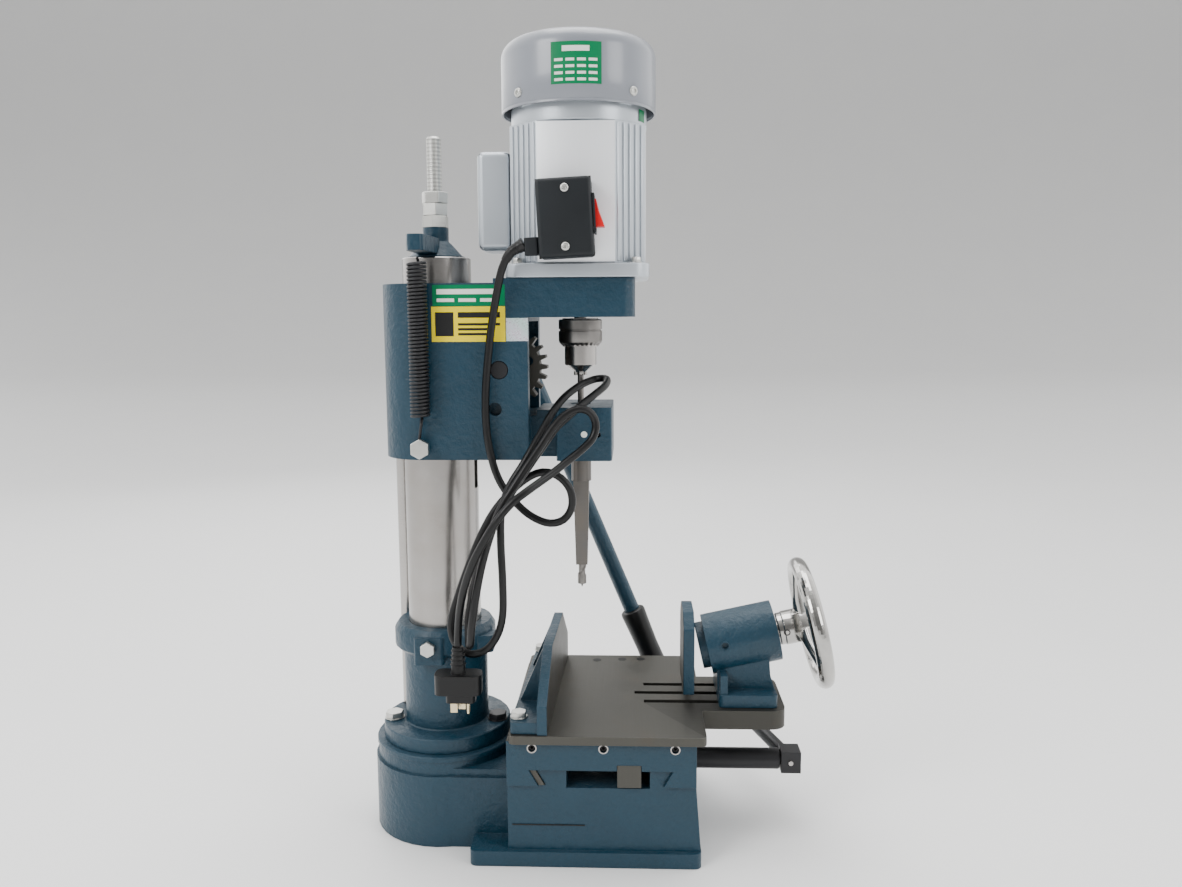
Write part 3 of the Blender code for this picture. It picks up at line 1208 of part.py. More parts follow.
def vise_bolts(mats):
    under = TABLE_TOP - TONGUE_T - GAP
    return [bolt(f"vise_bolt_{i + 1}", (VISE_BOLT[0], sign * VISE_BOLT[1], under), (0, 0, 1), 13 * MM,
                 5 * MM, 3 * MM, TONGUE_T + 7 * MM, mats["zinc"]) for i, sign in enumerate((-1, 1))]


def quill(mats):
    """The sliding nose that carries the jaw; its rear end is tapped for the screw."""
    front = BARREL_END - vise_way() * (BARREL_L + 7.5 * MM)
    rear = BARREL_END - vise_way() * 13 * MM
    piece = rod("quill", front, rear, QUILL_R, sides=28)
    cut(piece, rod("quill_thread", front + vise_way() * 8 * MM, rear + vise_way() * 5 * MM,
                   SCREW_R + GAP, sides=16))
    trim = JAW_X[1] + GAP
    cut(piece, box("quill_trim", (trim - 60 * MM, trim), (-60 * MM, 60 * MM), (100 * MM, 260 * MM)))
    return dress(piece, mats["paint"])


def jaw_plate(mats):
    low, high = JAW_Z
    half = JAW_HALF_Y
    side = ((-half, low), (half, low), (half, high - JAW_CHAMFER), (half - JAW_CHAMFER, high),
            (-half + JAW_CHAMFER, high), (-half, high - JAW_CHAMFER))
    return dress(plate("jaw_plate", side, 'X', JAW_X), mats["paint"])


def vise_screw(mats):
    start = BARREL_END - vise_way() * (BARREL_L - 8 * MM)
    piece = rod("vise_screw", start, BARREL_END + vise_way() * 26 * MM, SCREW_R, sides=16)
    return dress(piece, mats["steel"])


def handwheel(mats):
    rim_at = 32.5 * MM
    hub_low = 2 * MM
    dish = 0
    place = vise_place(0)
    hub = turned("handwheel", [(SCREW_R + GAP, rim_at + 4 * MM), (HUB_R - 2 * MM, rim_at + 4 * MM),
                               (HUB_R, rim_at + 2 * MM), (HUB_R, hub_low), (SCREW_R + GAP, hub_low)],
                 place, sides=32, closed=True)
    rim_points = 7
    rim_profile = []
    for step in range(rim_points):
        angle = -2 * math.pi * step / rim_points
        rim_profile.append((WHEEL_R - WHEEL_RIM_R + WHEEL_RIM_R * math.cos(angle),
                            rim_at - dish + 0.8 * WHEEL_RIM_R * math.sin(angle)))
    rim = turned("wheel_rim", rim_profile, place, sides=28, closed=True)
    add(hub, rim)
    for number in range(WHEEL_SPOKES):
        angle = 2 * math.pi * number / WHEEL_SPOKES + math.radians(90)
        out = Vector((math.cos(angle), math.sin(angle), 0))
        start = place @ (out * (HUB_R - 3 * MM) + Vector((0, 0, rim_at - 2 * MM)))
        end = place @ (out * (WHEEL_R - WHEEL_RIM_R) + Vector((0, 0, rim_at - dish)))
        add(hub, rod(f"spoke_{number}", start, end, 6.5 * MM, 4.5 * MM, sides=10))
    return dress(hub, mats["chrome"])


def traverse_shaft(mats):
    z = TRAVERSE_Z
    y = TRAVERSE_Y
    start = RACK_BAR_X[0]
    place = along((start, y, z), (TRAVERSE_HUB_X[1], y, z))
    tip = TRAVERSE_HUB_X[1] - start
    step = TRAVERSE_END - start
    shaft = turned("traverse_shaft", [(0, tip), (TRAVERSE_TIP_R, tip), (TRAVERSE_TIP_R, step),
                                      (TRAVERSE_R, step), (TRAVERSE_R, 24 * MM),
                                      (TRAVERSE_R - 3 * MM, 24 * MM),
                                      (TRAVERSE_R - 3 * MM, 0), (0, 0)], place, sides=32)
    pinion = [(y + u, z + v) for u, v in toothed_wheel(1.5 * MM, 13)]
    add(shaft, plate("pinion", pinion, 'X', (start, RACK_BAR_X[1])))
    return dress(shaft, mats["oxide"])


def traverse_lever(mats):
    half = TRAVERSE_HUB_HALF
    y = TRAVERSE_Y
    z = TRAVERSE_Z
    hub = box("traverse_lever", TRAVERSE_HUB_X, (y - half, y + half), (z - half, z + half))
    centre = Vector((sum(TRAVERSE_HUB_X) / 2, y, z))
    way = TRAVERSE_LEVER_TO.normalized()
    add(hub, rod("traverse_arm", centre + way * 9 * MM, centre + TRAVERSE_LEVER_TO, TRAVERSE_LEVER_R,
                 sides=16))
    cut(hub, rod("traverse_bore", (TRAVERSE_HUB_X[0] - 5 * MM, y, z), (TRAVERSE_HUB_X[1] + 5 * MM, y, z),
                 TRAVERSE_TIP_R + GAP, sides=16))
    return dress(hub, mats["oxide"])


# ---------------------------------------------------------------- assembly

def main():
    clear_scene()
    mats = finishes()
    base_casting(mats)
    column_socket(mats)
    socket_bolts(mats)
    column_tube(mats)
    column_rack(mats)
    column_cap(mats)
    tie_rod_and_nuts(mats)
    guide_rod(mats)

    head_joint = joint("head_slide", (0, 0, HEAD_Z[0]))
    on_head = [head_casting(mats), spring_bolt(mats), motor_flange(mats), motor_housing(mats),
               motor_stator(mats), motor_top_bell(mats), fan_cover(mats), capacitor_box(mats),
               chisel(mats), power_cord(mats)]
    on_head.append(bearing("lower_bearing", flange_low() + 4 * MM + GAP, mats))
    on_head.append(bearing("upper_bearing", HOUSING_TOP + GAP, mats))
    on_head += plug_pieces(mats)
    switch_fixed, rocker = switch_pieces(mats)
    on_head += switch_fixed
    carry(head_joint, *on_head)
    return_spring(mats)

    spindle_joint = joint("spindle", (SPINDLE_X, 0, CHUCK_TOP))
    carry(spindle_joint, rotor_shaft(mats), cooling_fan(mats), chuck_body(mats), chuck_sleeve(mats),
          auger_bit(mats))
    feed_joint = joint("feed_shaft_turn", (GEAR_X, 0, GEAR_Z))
    carry(feed_joint, *feed_gear_and_shaft(mats))
    lever_joint = joint("feed_lever_swing", (GEAR_X, LEVER_Y, GEAR_Z))
    carry(lever_joint, *feed_lever(mats))
    rocker_joint = joint("rocker", switch_tilt() @ Vector((SWITCH_X[1], sum(ROCKER_Y) / 2, ROCKER_Z)))
    carry(rocker_joint, rocker)
    carry(head_joint, spindle_joint, feed_joint, lever_joint, rocker_joint)

    table_joint = joint("table_slide", (SPINDLE_X, 0, PEDESTAL_TOP))
    carry(table_joint, table_saddle(mats), gib(mats), table_rack(mats), fence(mats), vise_body(mats),
          *fence_bolts(mats), *vise_bolts(mats))
    jaw_joint = joint("jaw_slide", BARREL_END - vise_way() * BARREL_L)
    carry(jaw_joint, quill(mats), jaw_plate(mats))
    wheel_joint = joint("handwheel_turn", BARREL_END)
    carry(wheel_joint, vise_screw(mats), handwheel(mats))
    carry(table_joint, jaw_joint, wheel_joint)

    shaft_joint = joint("traverse_shaft_turn", (TRAVERSE_END, TRAVERSE_Y, TRAVERSE_Z))
    carry(shaft_joint, traverse_shaft(mats))
    arm_joint = joint("traverse_lever_swing", (sum(TRAVERSE_HUB_X) / 2, TRAVERSE_Y, TRAVERSE_Z))
    carry(arm_joint, traverse_lever(mats))


main()
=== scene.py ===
"""Bench hollow-chisel mortiser: its visible pieces and finishes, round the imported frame."""

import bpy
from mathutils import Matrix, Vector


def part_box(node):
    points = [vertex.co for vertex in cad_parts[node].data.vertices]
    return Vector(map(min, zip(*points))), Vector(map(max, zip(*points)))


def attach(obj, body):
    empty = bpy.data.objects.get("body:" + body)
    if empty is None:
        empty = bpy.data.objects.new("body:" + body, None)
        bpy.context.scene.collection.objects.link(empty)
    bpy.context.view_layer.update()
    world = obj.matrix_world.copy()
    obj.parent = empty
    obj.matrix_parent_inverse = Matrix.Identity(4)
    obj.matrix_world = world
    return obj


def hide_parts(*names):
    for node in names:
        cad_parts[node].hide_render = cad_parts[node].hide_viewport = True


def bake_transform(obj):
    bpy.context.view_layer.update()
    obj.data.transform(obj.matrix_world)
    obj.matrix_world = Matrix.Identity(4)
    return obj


bl_info = {
    "name": "Bench Mortiser",
    "version": (1, 0, 0),
    "blender": (4, 5, 0),
    "location": "View3D > Sidebar > Mortiser",
    "description": "Models the visible pieces of a bench hollow-chisel mortiser",
    "category": "Add Mesh",
}

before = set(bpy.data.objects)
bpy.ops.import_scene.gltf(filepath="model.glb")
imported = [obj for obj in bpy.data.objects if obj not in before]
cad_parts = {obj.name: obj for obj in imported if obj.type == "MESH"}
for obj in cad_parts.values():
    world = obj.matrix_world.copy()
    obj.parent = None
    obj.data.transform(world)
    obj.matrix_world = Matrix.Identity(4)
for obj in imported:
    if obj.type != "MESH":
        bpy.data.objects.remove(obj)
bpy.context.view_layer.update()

import math

import bpy
from bpy.props import FloatProperty, FloatVectorProperty, IntProperty, PointerProperty
from mathutils import Matrix, Vector

MM = 0.001
SPINDLE_X = 135 * MM
BELL_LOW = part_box("motor_top_bell")[0][2]
COVER_LOW, COVER_HIGH = (corner[2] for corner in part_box("fan_cover"))
HEAD_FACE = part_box("feed_shaft")[0][1] - 1 * MM
VISE_LEAN = math.radians(12.7)
LEVER_LEAN = math.radians(22.6)
SWITCH_TILT = math.radians(-2.9)


# ---------------------------------------------------------------- settings

def length(name, what, default):
    return FloatProperty(name=name, description=what, default=default, min=0.0, unit='LENGTH')


def tint(name, what, default):
    return FloatVectorProperty(name=name, description=what, default=default, size=3, min=0.0,
                               max=1.0, subtype='COLOR')


class MortiserSizes(bpy.types.PropertyGroup):
    """Sizes of the finishing detail."""
    casting_edge: length("Casting edge", "Rounding of the castings' edges", 1.0 * MM)
    machined_edge: length("Machined edge", "Rounding of machined edges", 0.4 * MM)
    cord_diameter: length("Cord diameter", "Thickness of the power cord", 7 * MM)
    spring_wire: length("Spring wire", "Thickness of the return spring's wire", 2.7 * MM)
    thread_pitch: length("Thread pitch", "Pitch of the tie rod's thread", 1.75 * MM)
    label_sheet: length("Label sheet", "Thickness of a printed label", 0.2 * MM)
    spring_turns: IntProperty(name="Spring turns", description="Turns of the return spring",
                              default=42, min=4)
    wheel_spokes: IntProperty(name="Wheel spokes", description="Spokes of the handwheel",
                              default=3, min=2)


class MortiserColours(bpy.types.PropertyGroup):
    """Colours of the finishes."""
    paint: tint("Paint", "Enamel on the castings", (0.006, 0.030, 0.050))
    iron: tint("Machined iron", "Bare machined cast iron", (0.070, 0.068, 0.060))
    steel: tint("Ground steel", "Ground and polished steel", (0.36, 0.345, 0.33))
    zinc: tint("Zinc", "Zinc plate on the bolts", (0.60, 0.60, 0.57))
    motor: tint("Motor", "Silver paint on the motor", (0.50, 0.54, 0.58))
    panel: tint("Panel", "Smooth face of the motor", (0.93, 0.95, 0.98))
    enamel: tint("Grey enamel", "Fan cover and capacitor box", (0.21, 0.225, 0.255))
    plastic: tint("Black plastic", "Switch box and plug", (0.004, 0.006, 0.008))
    rubber: tint("Rubber", "Cord and grip", (0.0008, 0.0008, 0.001))
    rocker: tint("Rocker", "Switch rocker", (0.50, 0.003, 0.006))
    chrome: tint("Chrome", "Handwheel", (0.46, 0.45, 0.43))
    brass: tint("Brass", "Plug pins", (0.78, 0.66, 0.42))
    oxide: tint("Black oxide", "Spring, shaft and lever", (0.016, 0.016, 0.018))
    label_green: tint("Green label", "Ground of the green labels", (0.004, 0.17, 0.065))
    label_yellow: tint("Yellow label", "Ground of the yellow label", (0.86, 0.68, 0.004))


def sizes():
    return bpy.context.scene.mortiser_sizes


def colours():
    return bpy.context.scene.mortiser_colours


# ---------------------------------------------------------------- shader maths

class Field:
    """A value in a material. Python's operators on it add Math nodes."""

    def __init__(self, finish, socket):
        self.finish = finish
        self.socket = socket

    def __add__(self, other):
        return self.finish.maths('ADD', self, other)

    __radd__ = __add__

    def __sub__(self, other):
        return self.finish.maths('SUBTRACT', self, other)

    def __rsub__(self, other):
        return self.finish.maths('SUBTRACT', other, self)

    def __mul__(self, other):
        return self.finish.maths('MULTIPLY', self, other)

    __rmul__ = __mul__

    def __pow__(self, other):
        return self.finish.maths('POWER', self, other)


class Finish:
    """A material under construction, with its Principled shader."""

    def __init__(self, name, roughness=0.5, metallic=0.0, **sockets):
        self.material = bpy.data.materials.new(name)
        self.material.use_nodes = True
        self.tree = self.material.node_tree
        self.shader = self.tree.nodes["Principled BSDF"]
        self.set(self.shader, {"Roughness": roughness, "Metallic": metallic, **sockets})
        self.object = self.add('ShaderNodeTexCoord', output="Object")

    def set(self, node, sockets):
        for key, value in sockets.items():
            if isinstance(value, Field):
                self.tree.links.new(value.socket, node.inputs[key])
            elif isinstance(value, (tuple, list)) and node.inputs[key].type == 'RGBA':
                node.inputs[key].default_value = (*value[:3], 1.0)
            else:
                node.inputs[key].default_value = value

    def add(self, kind, settings=None, sockets=None, output=0):
        """Any node: its settings, then the values or links of its sockets."""
        node = self.tree.nodes.new(kind)
        for key, value in (settings or {}).items():
            if key == "stops":
                ramp = node.color_ramp
                for stop, (position, level) in zip(ramp.elements, value):
                    stop.position = position
                    stop.color = (level, level, level, 1.0)
            else:
                setattr(node, key, value)
        self.set(node, sockets or {})
        return Field(self, node.outputs[output])

    def maths(self, operation, a, b):
        return self.add('ShaderNodeMath', {"operation": operation}, {0: a, 1: b})

    def clamp(self, value):
        return self.add('ShaderNodeClamp', sockets={"Value": value})

    def mix(self, factor, a, b):
        return self.add('ShaderNodeMix', {"data_type": 'RGBA'}, {0: factor, 6: a, 7: b}, 2)

    def stretched(self, scale, turn=(0.0, 0.0, 0.0)):
        return self.add('ShaderNodeMapping', sockets={"Vector": self.object, "Scale": scale,
                                                      "Rotation": turn})

    def noise(self, scale, detail=2.0, rough=0.5, place=None):
        return self.add('ShaderNodeTexNoise', sockets={
            "Vector": place or self.object, "Scale": scale, "Detail": detail, "Roughness": rough},
            output="Fac")

    def step(self, value, low, high):
        """0 below low, 1 above high, and a ramp between."""
        return self.add('ShaderNodeValToRGB', {"stops": ((low, 0.0), (high, 1.0))}, {"Fac": value})

    def soft_edge(self, radius):
        return self.add('ShaderNodeBevel', {"samples": 4}, {"Radius": radius}, "Normal")

    def edge_wear_and_highlight(self, soft, amount):
        """1 on outer and inner edges, found from how far the softened normal leans."""
        flat = self.add('ShaderNodeNewGeometry', output="Normal")
        lean = self.add('ShaderNodeVectorMath', {"operation": 'DOT_PRODUCT'}, {0: soft, 1: flat},
                        "Value")
        return self.clamp((1.0 - lean) * amount)

    def facing_up(self):
        normal = self.add('ShaderNodeNewGeometry', output="Normal")
        parts = self.add('ShaderNodeSeparateXYZ', sockets={0: normal}, output="Z")
        return self.clamp(parts)

    def bump(self, height, strength, distance, normal=None):
        sockets = {"Height": height, "Strength": strength, "Distance": distance}
        if normal is not None:
            sockets["Normal"] = normal
        return self.add('ShaderNodeBump', sockets=sockets, output="Normal")

    def out(self, **sockets):
        self.set(self.shader, {key.replace("_", " "): value for key, value in sockets.items()})
        return self.material


def shade(colour, factor):
    return tuple(min(1.0, channel * factor) for channel in colour)


def casting_paint():
    colour = tuple(colours().paint)
    f = Finish("casting_paint", **{"Coat Roughness": 0.25, "Specular IOR Level": 0.32})
    soft = f.soft_edge(0.9 * MM)
    cloud = f.noise(22.0, 4.0)
    pits = f.noise(330.0, 3.0, 0.6)
    orange = f.noise(110.0, 2.0)
    wear = f.edge_wear_and_highlight(soft, 3.0) * f.step(f.noise(75.0, 4.0, 0.7), 0.52, 0.66)
    dust = f.facing_up() * f.step(f.noise(45.0, 5.0, 0.7), 0.35, 0.75)
    base = f.mix(cloud, shade(colour, 0.78), shade(colour, 1.25))
    base = f.mix(pits * 0.35, base, shade(colour, 1.9))
    base = f.mix(wear * 0.35, base, (0.11, 0.10, 0.09))
    base = f.mix(dust * 0.08, base, (0.16, 0.16, 0.15))
    rough = 0.30 + cloud * 0.14 + dust * 0.25 + wear * 0.15
    return f.out(Base_Color=base, Roughness=rough, Coat_Weight=0.12 - dust * 0.1,
                 Normal=f.bump(pits + orange * 1.8, 0.7, 0.9 * MM, soft))


def machined_iron(name, axis, painted_lighting=1.0):
    """Bare iron with the cutter's lines across one axis, and a brown bloom. Its edges are painted
    lighter, partly rubbed bare metal and partly a painted highlight; a painted_lighting under 1
    darkens it into a shaded copy, painted shade.
    """
    colour = tuple(colours().iron)
    f = Finish(name, metallic=0.85)
    scale = tuple(18.0 if i == axis else 900.0 for i in range(3))
    lines = f.noise(1.0, 2.0, 0.5, f.stretched(scale))
    bloom = f.noise(19.0, 5.0, 0.65)
    grain = f.noise(600.0, 2.0)
    soft = f.soft_edge(0.5 * MM)
    edge = f.edge_wear_and_highlight(soft, 4.0)
    # painted_lighting scales the lighter tones; under 1 it gives painted shade.
    base = f.mix(bloom, shade(colour, 0.75), shade(colour, 1.3 * painted_lighting))
    base = f.mix(f.step(bloom, 0.55, 0.75) * 0.35, base, (0.085, 0.058, 0.036))
    base = f.mix(lines * 0.35, base, shade(colour, 1.7 * painted_lighting))
    # Every edge painted lighter: bare metal rubbed bright, and a painted highlight.
    base = f.mix(edge * 0.5, base, (0.34, 0.33, 0.31))
    rough = 0.32 + bloom * 0.2 + lines * 0.12
    return f.out(Base_Color=base, Roughness=rough,
                 Normal=f.bump(lines + grain * 0.6, 0.16, 0.2 * MM, soft))


def ground_steel(name, colour, roughness=0.2, rings=1400.0, along=6.0, stain=0.3):
    """Steel ground round the Z axis, so its fine lines run across it."""
    f = Finish(name, metallic=1.0)
    lines = f.noise(1.0, 3.0, 0.6, f.stretched((along, along, rings)))
    cloud = f.noise(17.0, 4.0, 0.6)
    soft = f.soft_edge(0.4 * MM)
    base = f.mix(lines, shade(colour, 0.93), shade(colour, 1.06))
    base = f.mix(f.step(cloud, 0.45, 0.8) * stain, base, (0.20, 0.15, 0.10))
    rough = roughness + lines * 0.06 + cloud * 0.10
    return f.out(Base_Color=base, Roughness=rough, Normal=f.bump(lines, 0.03, 0.05 * MM, soft))


def worn_thread(colour):
    """Zinc that has gone dull in the roots of the thread, one turn to each pitch."""
    f = Finish("thread", metallic=1.0)
    turns = f.add('ShaderNodeTexWave', {"bands_direction": 'Z'},
                  {"Vector": f.object, "Scale": 90.0, "Distortion": 0.4}, "Fac")
    cloud = f.noise(60.0, 3.0)
    base = f.mix(turns, shade(colour, 0.62), shade(colour, 1.05))
    base = f.mix(cloud * 0.3, base, shade(colour, 0.7))
    return f.out(Base_Color=base, Roughness=0.3 + cloud * 0.2)


def plated(name, colour, roughness, metallic=1.0, speck=0.25):
    f = Finish(name, metallic=metallic)
    cloud = f.noise(90.0, 4.0)
    fine = f.noise(900.0, 2.0)
    soft = f.soft_edge(0.5 * MM)
    base = f.mix(cloud, shade(colour, 0.78), shade(colour, 1.12))
    base = f.mix(f.step(cloud, 0.56, 0.72) * speck, base, (0.30, 0.25, 0.14))
    rough = roughness + cloud * 0.14 + fine * 0.05
    return f.out(Base_Color=base, Roughness=rough, Normal=f.bump(fine, 0.12, 0.1 * MM, soft))


def enamel(name, colour, roughness=0.28, metallic=0.0, peel=1.0, coat=0.4):
    """Smooth sprayed paint with a slight orange peel and a little dust on top."""
    f = Finish(name, metallic=metallic, **{"Coat Roughness": 0.15})
    cloud = f.noise(14.0, 3.0)
    skin = f.noise(260.0, 2.0)
    soft = f.soft_edge(0.7 * MM)
    dust = f.facing_up() * f.step(f.noise(60.0, 4.0, 0.7), 0.45, 0.85)
    edge = f.edge_wear_and_highlight(soft, 2.0) * f.step(f.noise(120.0, 3.0, 0.7), 0.5, 0.62)
    base = f.mix(cloud, shade(colour, 0.90), shade(colour, 1.10))
    base = f.mix(edge * 0.3, base, shade(colour, 1.9))
    base = f.mix(dust * 0.15, base, (0.42, 0.41, 0.39))
    return f.out(Base_Color=base, Roughness=roughness + cloud * 0.08 + dust * 0.2,
                 Coat_Weight=coat - dust * 0.3,
                 Normal=f.bump(skin, 0.10 * peel, 0.3 * MM, soft))


def moulded(name, colour, roughness=0.45, grain=700.0, depth=0.15):
    f = Finish(name, **{"Specular IOR Level": 0.35})
    skin = f.noise(grain, 2.0, 0.6)
    cloud = f.noise(35.0, 3.0)
    soft = f.soft_edge(0.5 * MM)
    dust = f.facing_up() * f.step(f.noise(80.0, 4.0, 0.7), 0.5, 0.9)
    base = f.mix(cloud, shade(colour, 0.8), shade(colour, 1.4))
    base = f.mix(dust * 0.05, base, (0.20, 0.19, 0.18))
    return f.out(Base_Color=base, Roughness=roughness + cloud * 0.1 + skin * 0.08,
                 Normal=f.bump(skin, depth, 0.2 * MM, soft))


def brushed_panel():
    colour = tuple(colours().panel)
    f = Finish("brushed_panel", metallic=0.35)
    lines = f.noise(1.0, 2.0, 0.5, f.stretched((1100.0, 20.0, 14.0)))
    cloud = f.noise(12.0, 2.0)
    base = f.mix(lines, shade(colour, 0.96), shade(colour, 1.03))
    return f.out(Base_Color=base, Roughness=0.34 + lines * 0.1 + cloud * 0.08,
                 Normal=f.bump(lines, 0.06, 0.1 * MM))


def foil():
    """Blank holographic foil: bands of pale rainbow."""
    f = Finish("foil", roughness=0.25, metallic=0.5)
    bands = f.add('ShaderNodeTexWave', {"bands_direction": 'DIAGONAL'},
                  {"Vector": f.object, "Scale": 22.0, "Distortion": 3.0}, "Fac")
    cells = f.add('ShaderNodeTexVoronoi', sockets={"Vector": f.object, "Scale": 420.0},
                  output="Distance")
    base = f.mix(bands, (0.62, 0.74, 0.72), (0.80, 0.70, 0.82))
    base = f.mix(cells * 0.5, base, (0.45, 0.72, 0.66))
    return f.out(Base_Color=base, Roughness=0.22 + cells * 0.15)


def ink_and_painted_light(name, colour):
    f = Finish(name, **{"Coat Roughness": 0.12, "Specular IOR Level": 0.12})
    cloud = f.noise(70.0, 3.0)
    base = f.mix(cloud, shade(colour, 0.88), shade(colour, 1.10))
    return f.out(Base_Color=base, Roughness=0.32 + cloud * 0.1, Coat_Weight=0.04 + cloud * 0.05)


def studio_floor():
    f = Finish("studio_floor", roughness=0.6)
    cloud = f.noise(3.0, 2.0)
    return f.out(Base_Color=f.mix(cloud, (0.80, 0.80, 0.80), (0.83, 0.83, 0.82)),
                 Roughness=0.5 + cloud * 0.1)


FINISHES = {}


def finish(name):
    """The finished material of that name, made when it is first asked for."""
    c = colours()
    makers = {
        "paint": casting_paint,
        "table_iron": lambda: machined_iron("table_iron", 1),
        "gear_iron": lambda: machined_iron("gear_iron", 2, 1.0),
        # A darker copy of machined iron: painted shade.
        "shaded_iron": lambda: machined_iron("shaded_iron", 0, 0.6),
        "column_steel": lambda: ground_steel("column_steel", tuple(c.steel), 0.17),
        "bright_steel": lambda: ground_steel("bright_steel", shade(c.steel, 1.2), 0.18, stain=0.12),
        "tool_steel": lambda: ground_steel("tool_steel", shade(c.steel, 0.34), 0.30, 700.0, 30.0,
                                           0.4),
        "sleeve_steel": lambda: ground_steel("sleeve_steel", shade(c.steel, 0.60), 0.24, 700.0,
                                             30.0, 0.2),
        "zinc": lambda: plated("zinc", tuple(c.zinc), 0.26, speck=0.15),
        "thread": lambda: worn_thread(tuple(c.zinc)),
        "oxide": lambda: plated("oxide", tuple(c.oxide), 0.34, 0.3, 0.0),
        "brass": lambda: plated("brass", tuple(c.brass), 0.22, speck=0.1),
        "copper": lambda: plated("copper", (0.55, 0.24, 0.12), 0.4),
        "chrome": lambda: plated("chrome", tuple(c.chrome), 0.05, speck=0.04),
        "motor": lambda: enamel("motor", tuple(c.motor), 0.34, 0.55, 1.5, 0.2),
        "enamel": lambda: enamel("enamel", tuple(c.enamel)),
        "panel": brushed_panel,
        "plastic": lambda: moulded("plastic", tuple(c.plastic)),
        "rubber": lambda: moulded("rubber", tuple(c.rubber), 0.30, 500.0, 0.05),
        "rocker": lambda: moulded("rocker", tuple(c.rocker), 0.22, 300.0, 0.03),
        "foil": foil,
        "label_green": lambda: ink_and_painted_light("label_green", tuple(c.label_green)),
        "label_yellow": lambda: ink_and_painted_light("label_yellow", tuple(c.label_yellow)),
        # White for print, and for painted light in the bracket's hole.
        "white_print_and_light": lambda: ink_and_painted_light("white_print_and_light", (0.75, 0.78, 0.72)),
        # Black for print, and for painted shade in the table's holes.
        "black_print_and_shade": lambda: ink_and_painted_light("black_print_and_shade", (0.02, 0.02, 0.02)),
        "print_red": lambda: ink_and_painted_light("print_red", (0.55, 0.03, 0.02)),
        "floor": studio_floor,
    }
    if name not in FINISHES:
        FINISHES[name] = makers[name]()
    return FINISHES[name]


# ---------------------------------------------------------------- modelling

def deselect():
    if bpy.context.object and bpy.context.object.mode != 'OBJECT':
        bpy.ops.object.mode_set(mode='OBJECT')
    bpy.ops.object.select_all(action='DESELECT')


def only(obj):
    deselect()
    obj.select_set(True)
    bpy.context.view_layer.objects.active = obj


def edit(obj):
    only(obj)
    bpy.ops.object.mode_set(mode='EDIT')
    bpy.ops.mesh.select_mode(type='VERT')
    bpy.ops.mesh.select_all(action='SELECT')


def leave():
    bpy.ops.object.mode_set(mode='OBJECT')


def apply_all(obj):
    only(obj)
    for modifier in list(obj.modifiers):
        bpy.ops.object.modifier_apply(modifier=modifier.name)


def place(obj, matrix):
    """Moves the piece and leaves its place in its mesh."""
    obj.matrix_world = matrix
    only(obj)
    bpy.ops.object.transform_apply(location=True, rotation=True, scale=True)


def settle(obj, angle=35):
    """Closes seams, turns the faces outwards and shades between sharp edges."""
    edit(obj)
    bpy.ops.mesh.remove_doubles(threshold=2e-6)
    bpy.ops.mesh.normals_make_consistent(inside=False)
    leave()
    bpy.ops.object.shade_smooth_by_angle(angle=math.radians(angle))


def done(obj, material, body, *nodes, slot=None):
    """Gives the piece its finish and its body, and puts it in place of its CAD nodes."""
    obj.data.materials.clear()
    obj.data.materials.append(finish(material))
    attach(obj, body)
    if nodes:
        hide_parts(*nodes)
    return obj


def named(name):
    obj = bpy.context.active_object
    obj.name = name
    obj.data.name = name
    return obj


def block(name, x, y, z, edge=0.0, segments=2):
    """A block between the pairs x, y and z, its edges rounded."""
    deselect()
    middle = [sum(pair) / 2 for pair in (x, y, z)]
    size = [pair[1] - pair[0] for pair in (x, y, z)]
    bpy.ops.mesh.primitive_cube_add(size=1, location=middle, scale=size)
    obj = named(name)
    bpy.ops.object.transform_apply(location=True, rotation=True, scale=True)
    if edge:
        edit(obj)
        bpy.ops.mesh.bevel(offset=edge, segments=segments, affect='EDGES')
        leave()
    settle(obj)
    return obj


def along(start, end):
    way = Vector(end) - Vector(start)
    return Matrix.Translation(Vector(start)) @ way.to_track_quat('Z', 'Y').to_matrix().to_4x4()


def spun(name, profile, matrix=None, steps=48, sweep=2 * math.pi, angle=35):
    """A vertex extruded through (radius, height) pairs, then spun round Z."""
    deselect()
    bpy.ops.mesh.primitive_plane_add(size=MM)
    obj = named(name)
    edit(obj)
    bpy.ops.mesh.merge(type='CENTER')
    bpy.ops.transform.translate(value=(profile[0][0], 0, profile[0][1]))
    for (r0, z0), (r1, z1) in zip(profile, profile[1:]):
        bpy.ops.mesh.extrude_region_move(TRANSFORM_OT_translate={"value": (r1 - r0, 0, z1 - z0)})
    bpy.ops.mesh.select_all(action='SELECT')
    bpy.ops.mesh.spin(steps=steps, angle=sweep, center=(0, 0, 0), axis=(0, 0, 1))
    leave()
    settle(obj, angle)
    if matrix is not None:
        place(obj, matrix)
    return obj


def ring_profile(inner, outer, low, high, edge):
    """A closed profile of a ring with rounded outer edges."""
    return [(inner, low), (outer - edge, low), (outer, low + edge), (outer, high - edge),
            (outer - edge, high), (inner, high), (inner, low)]


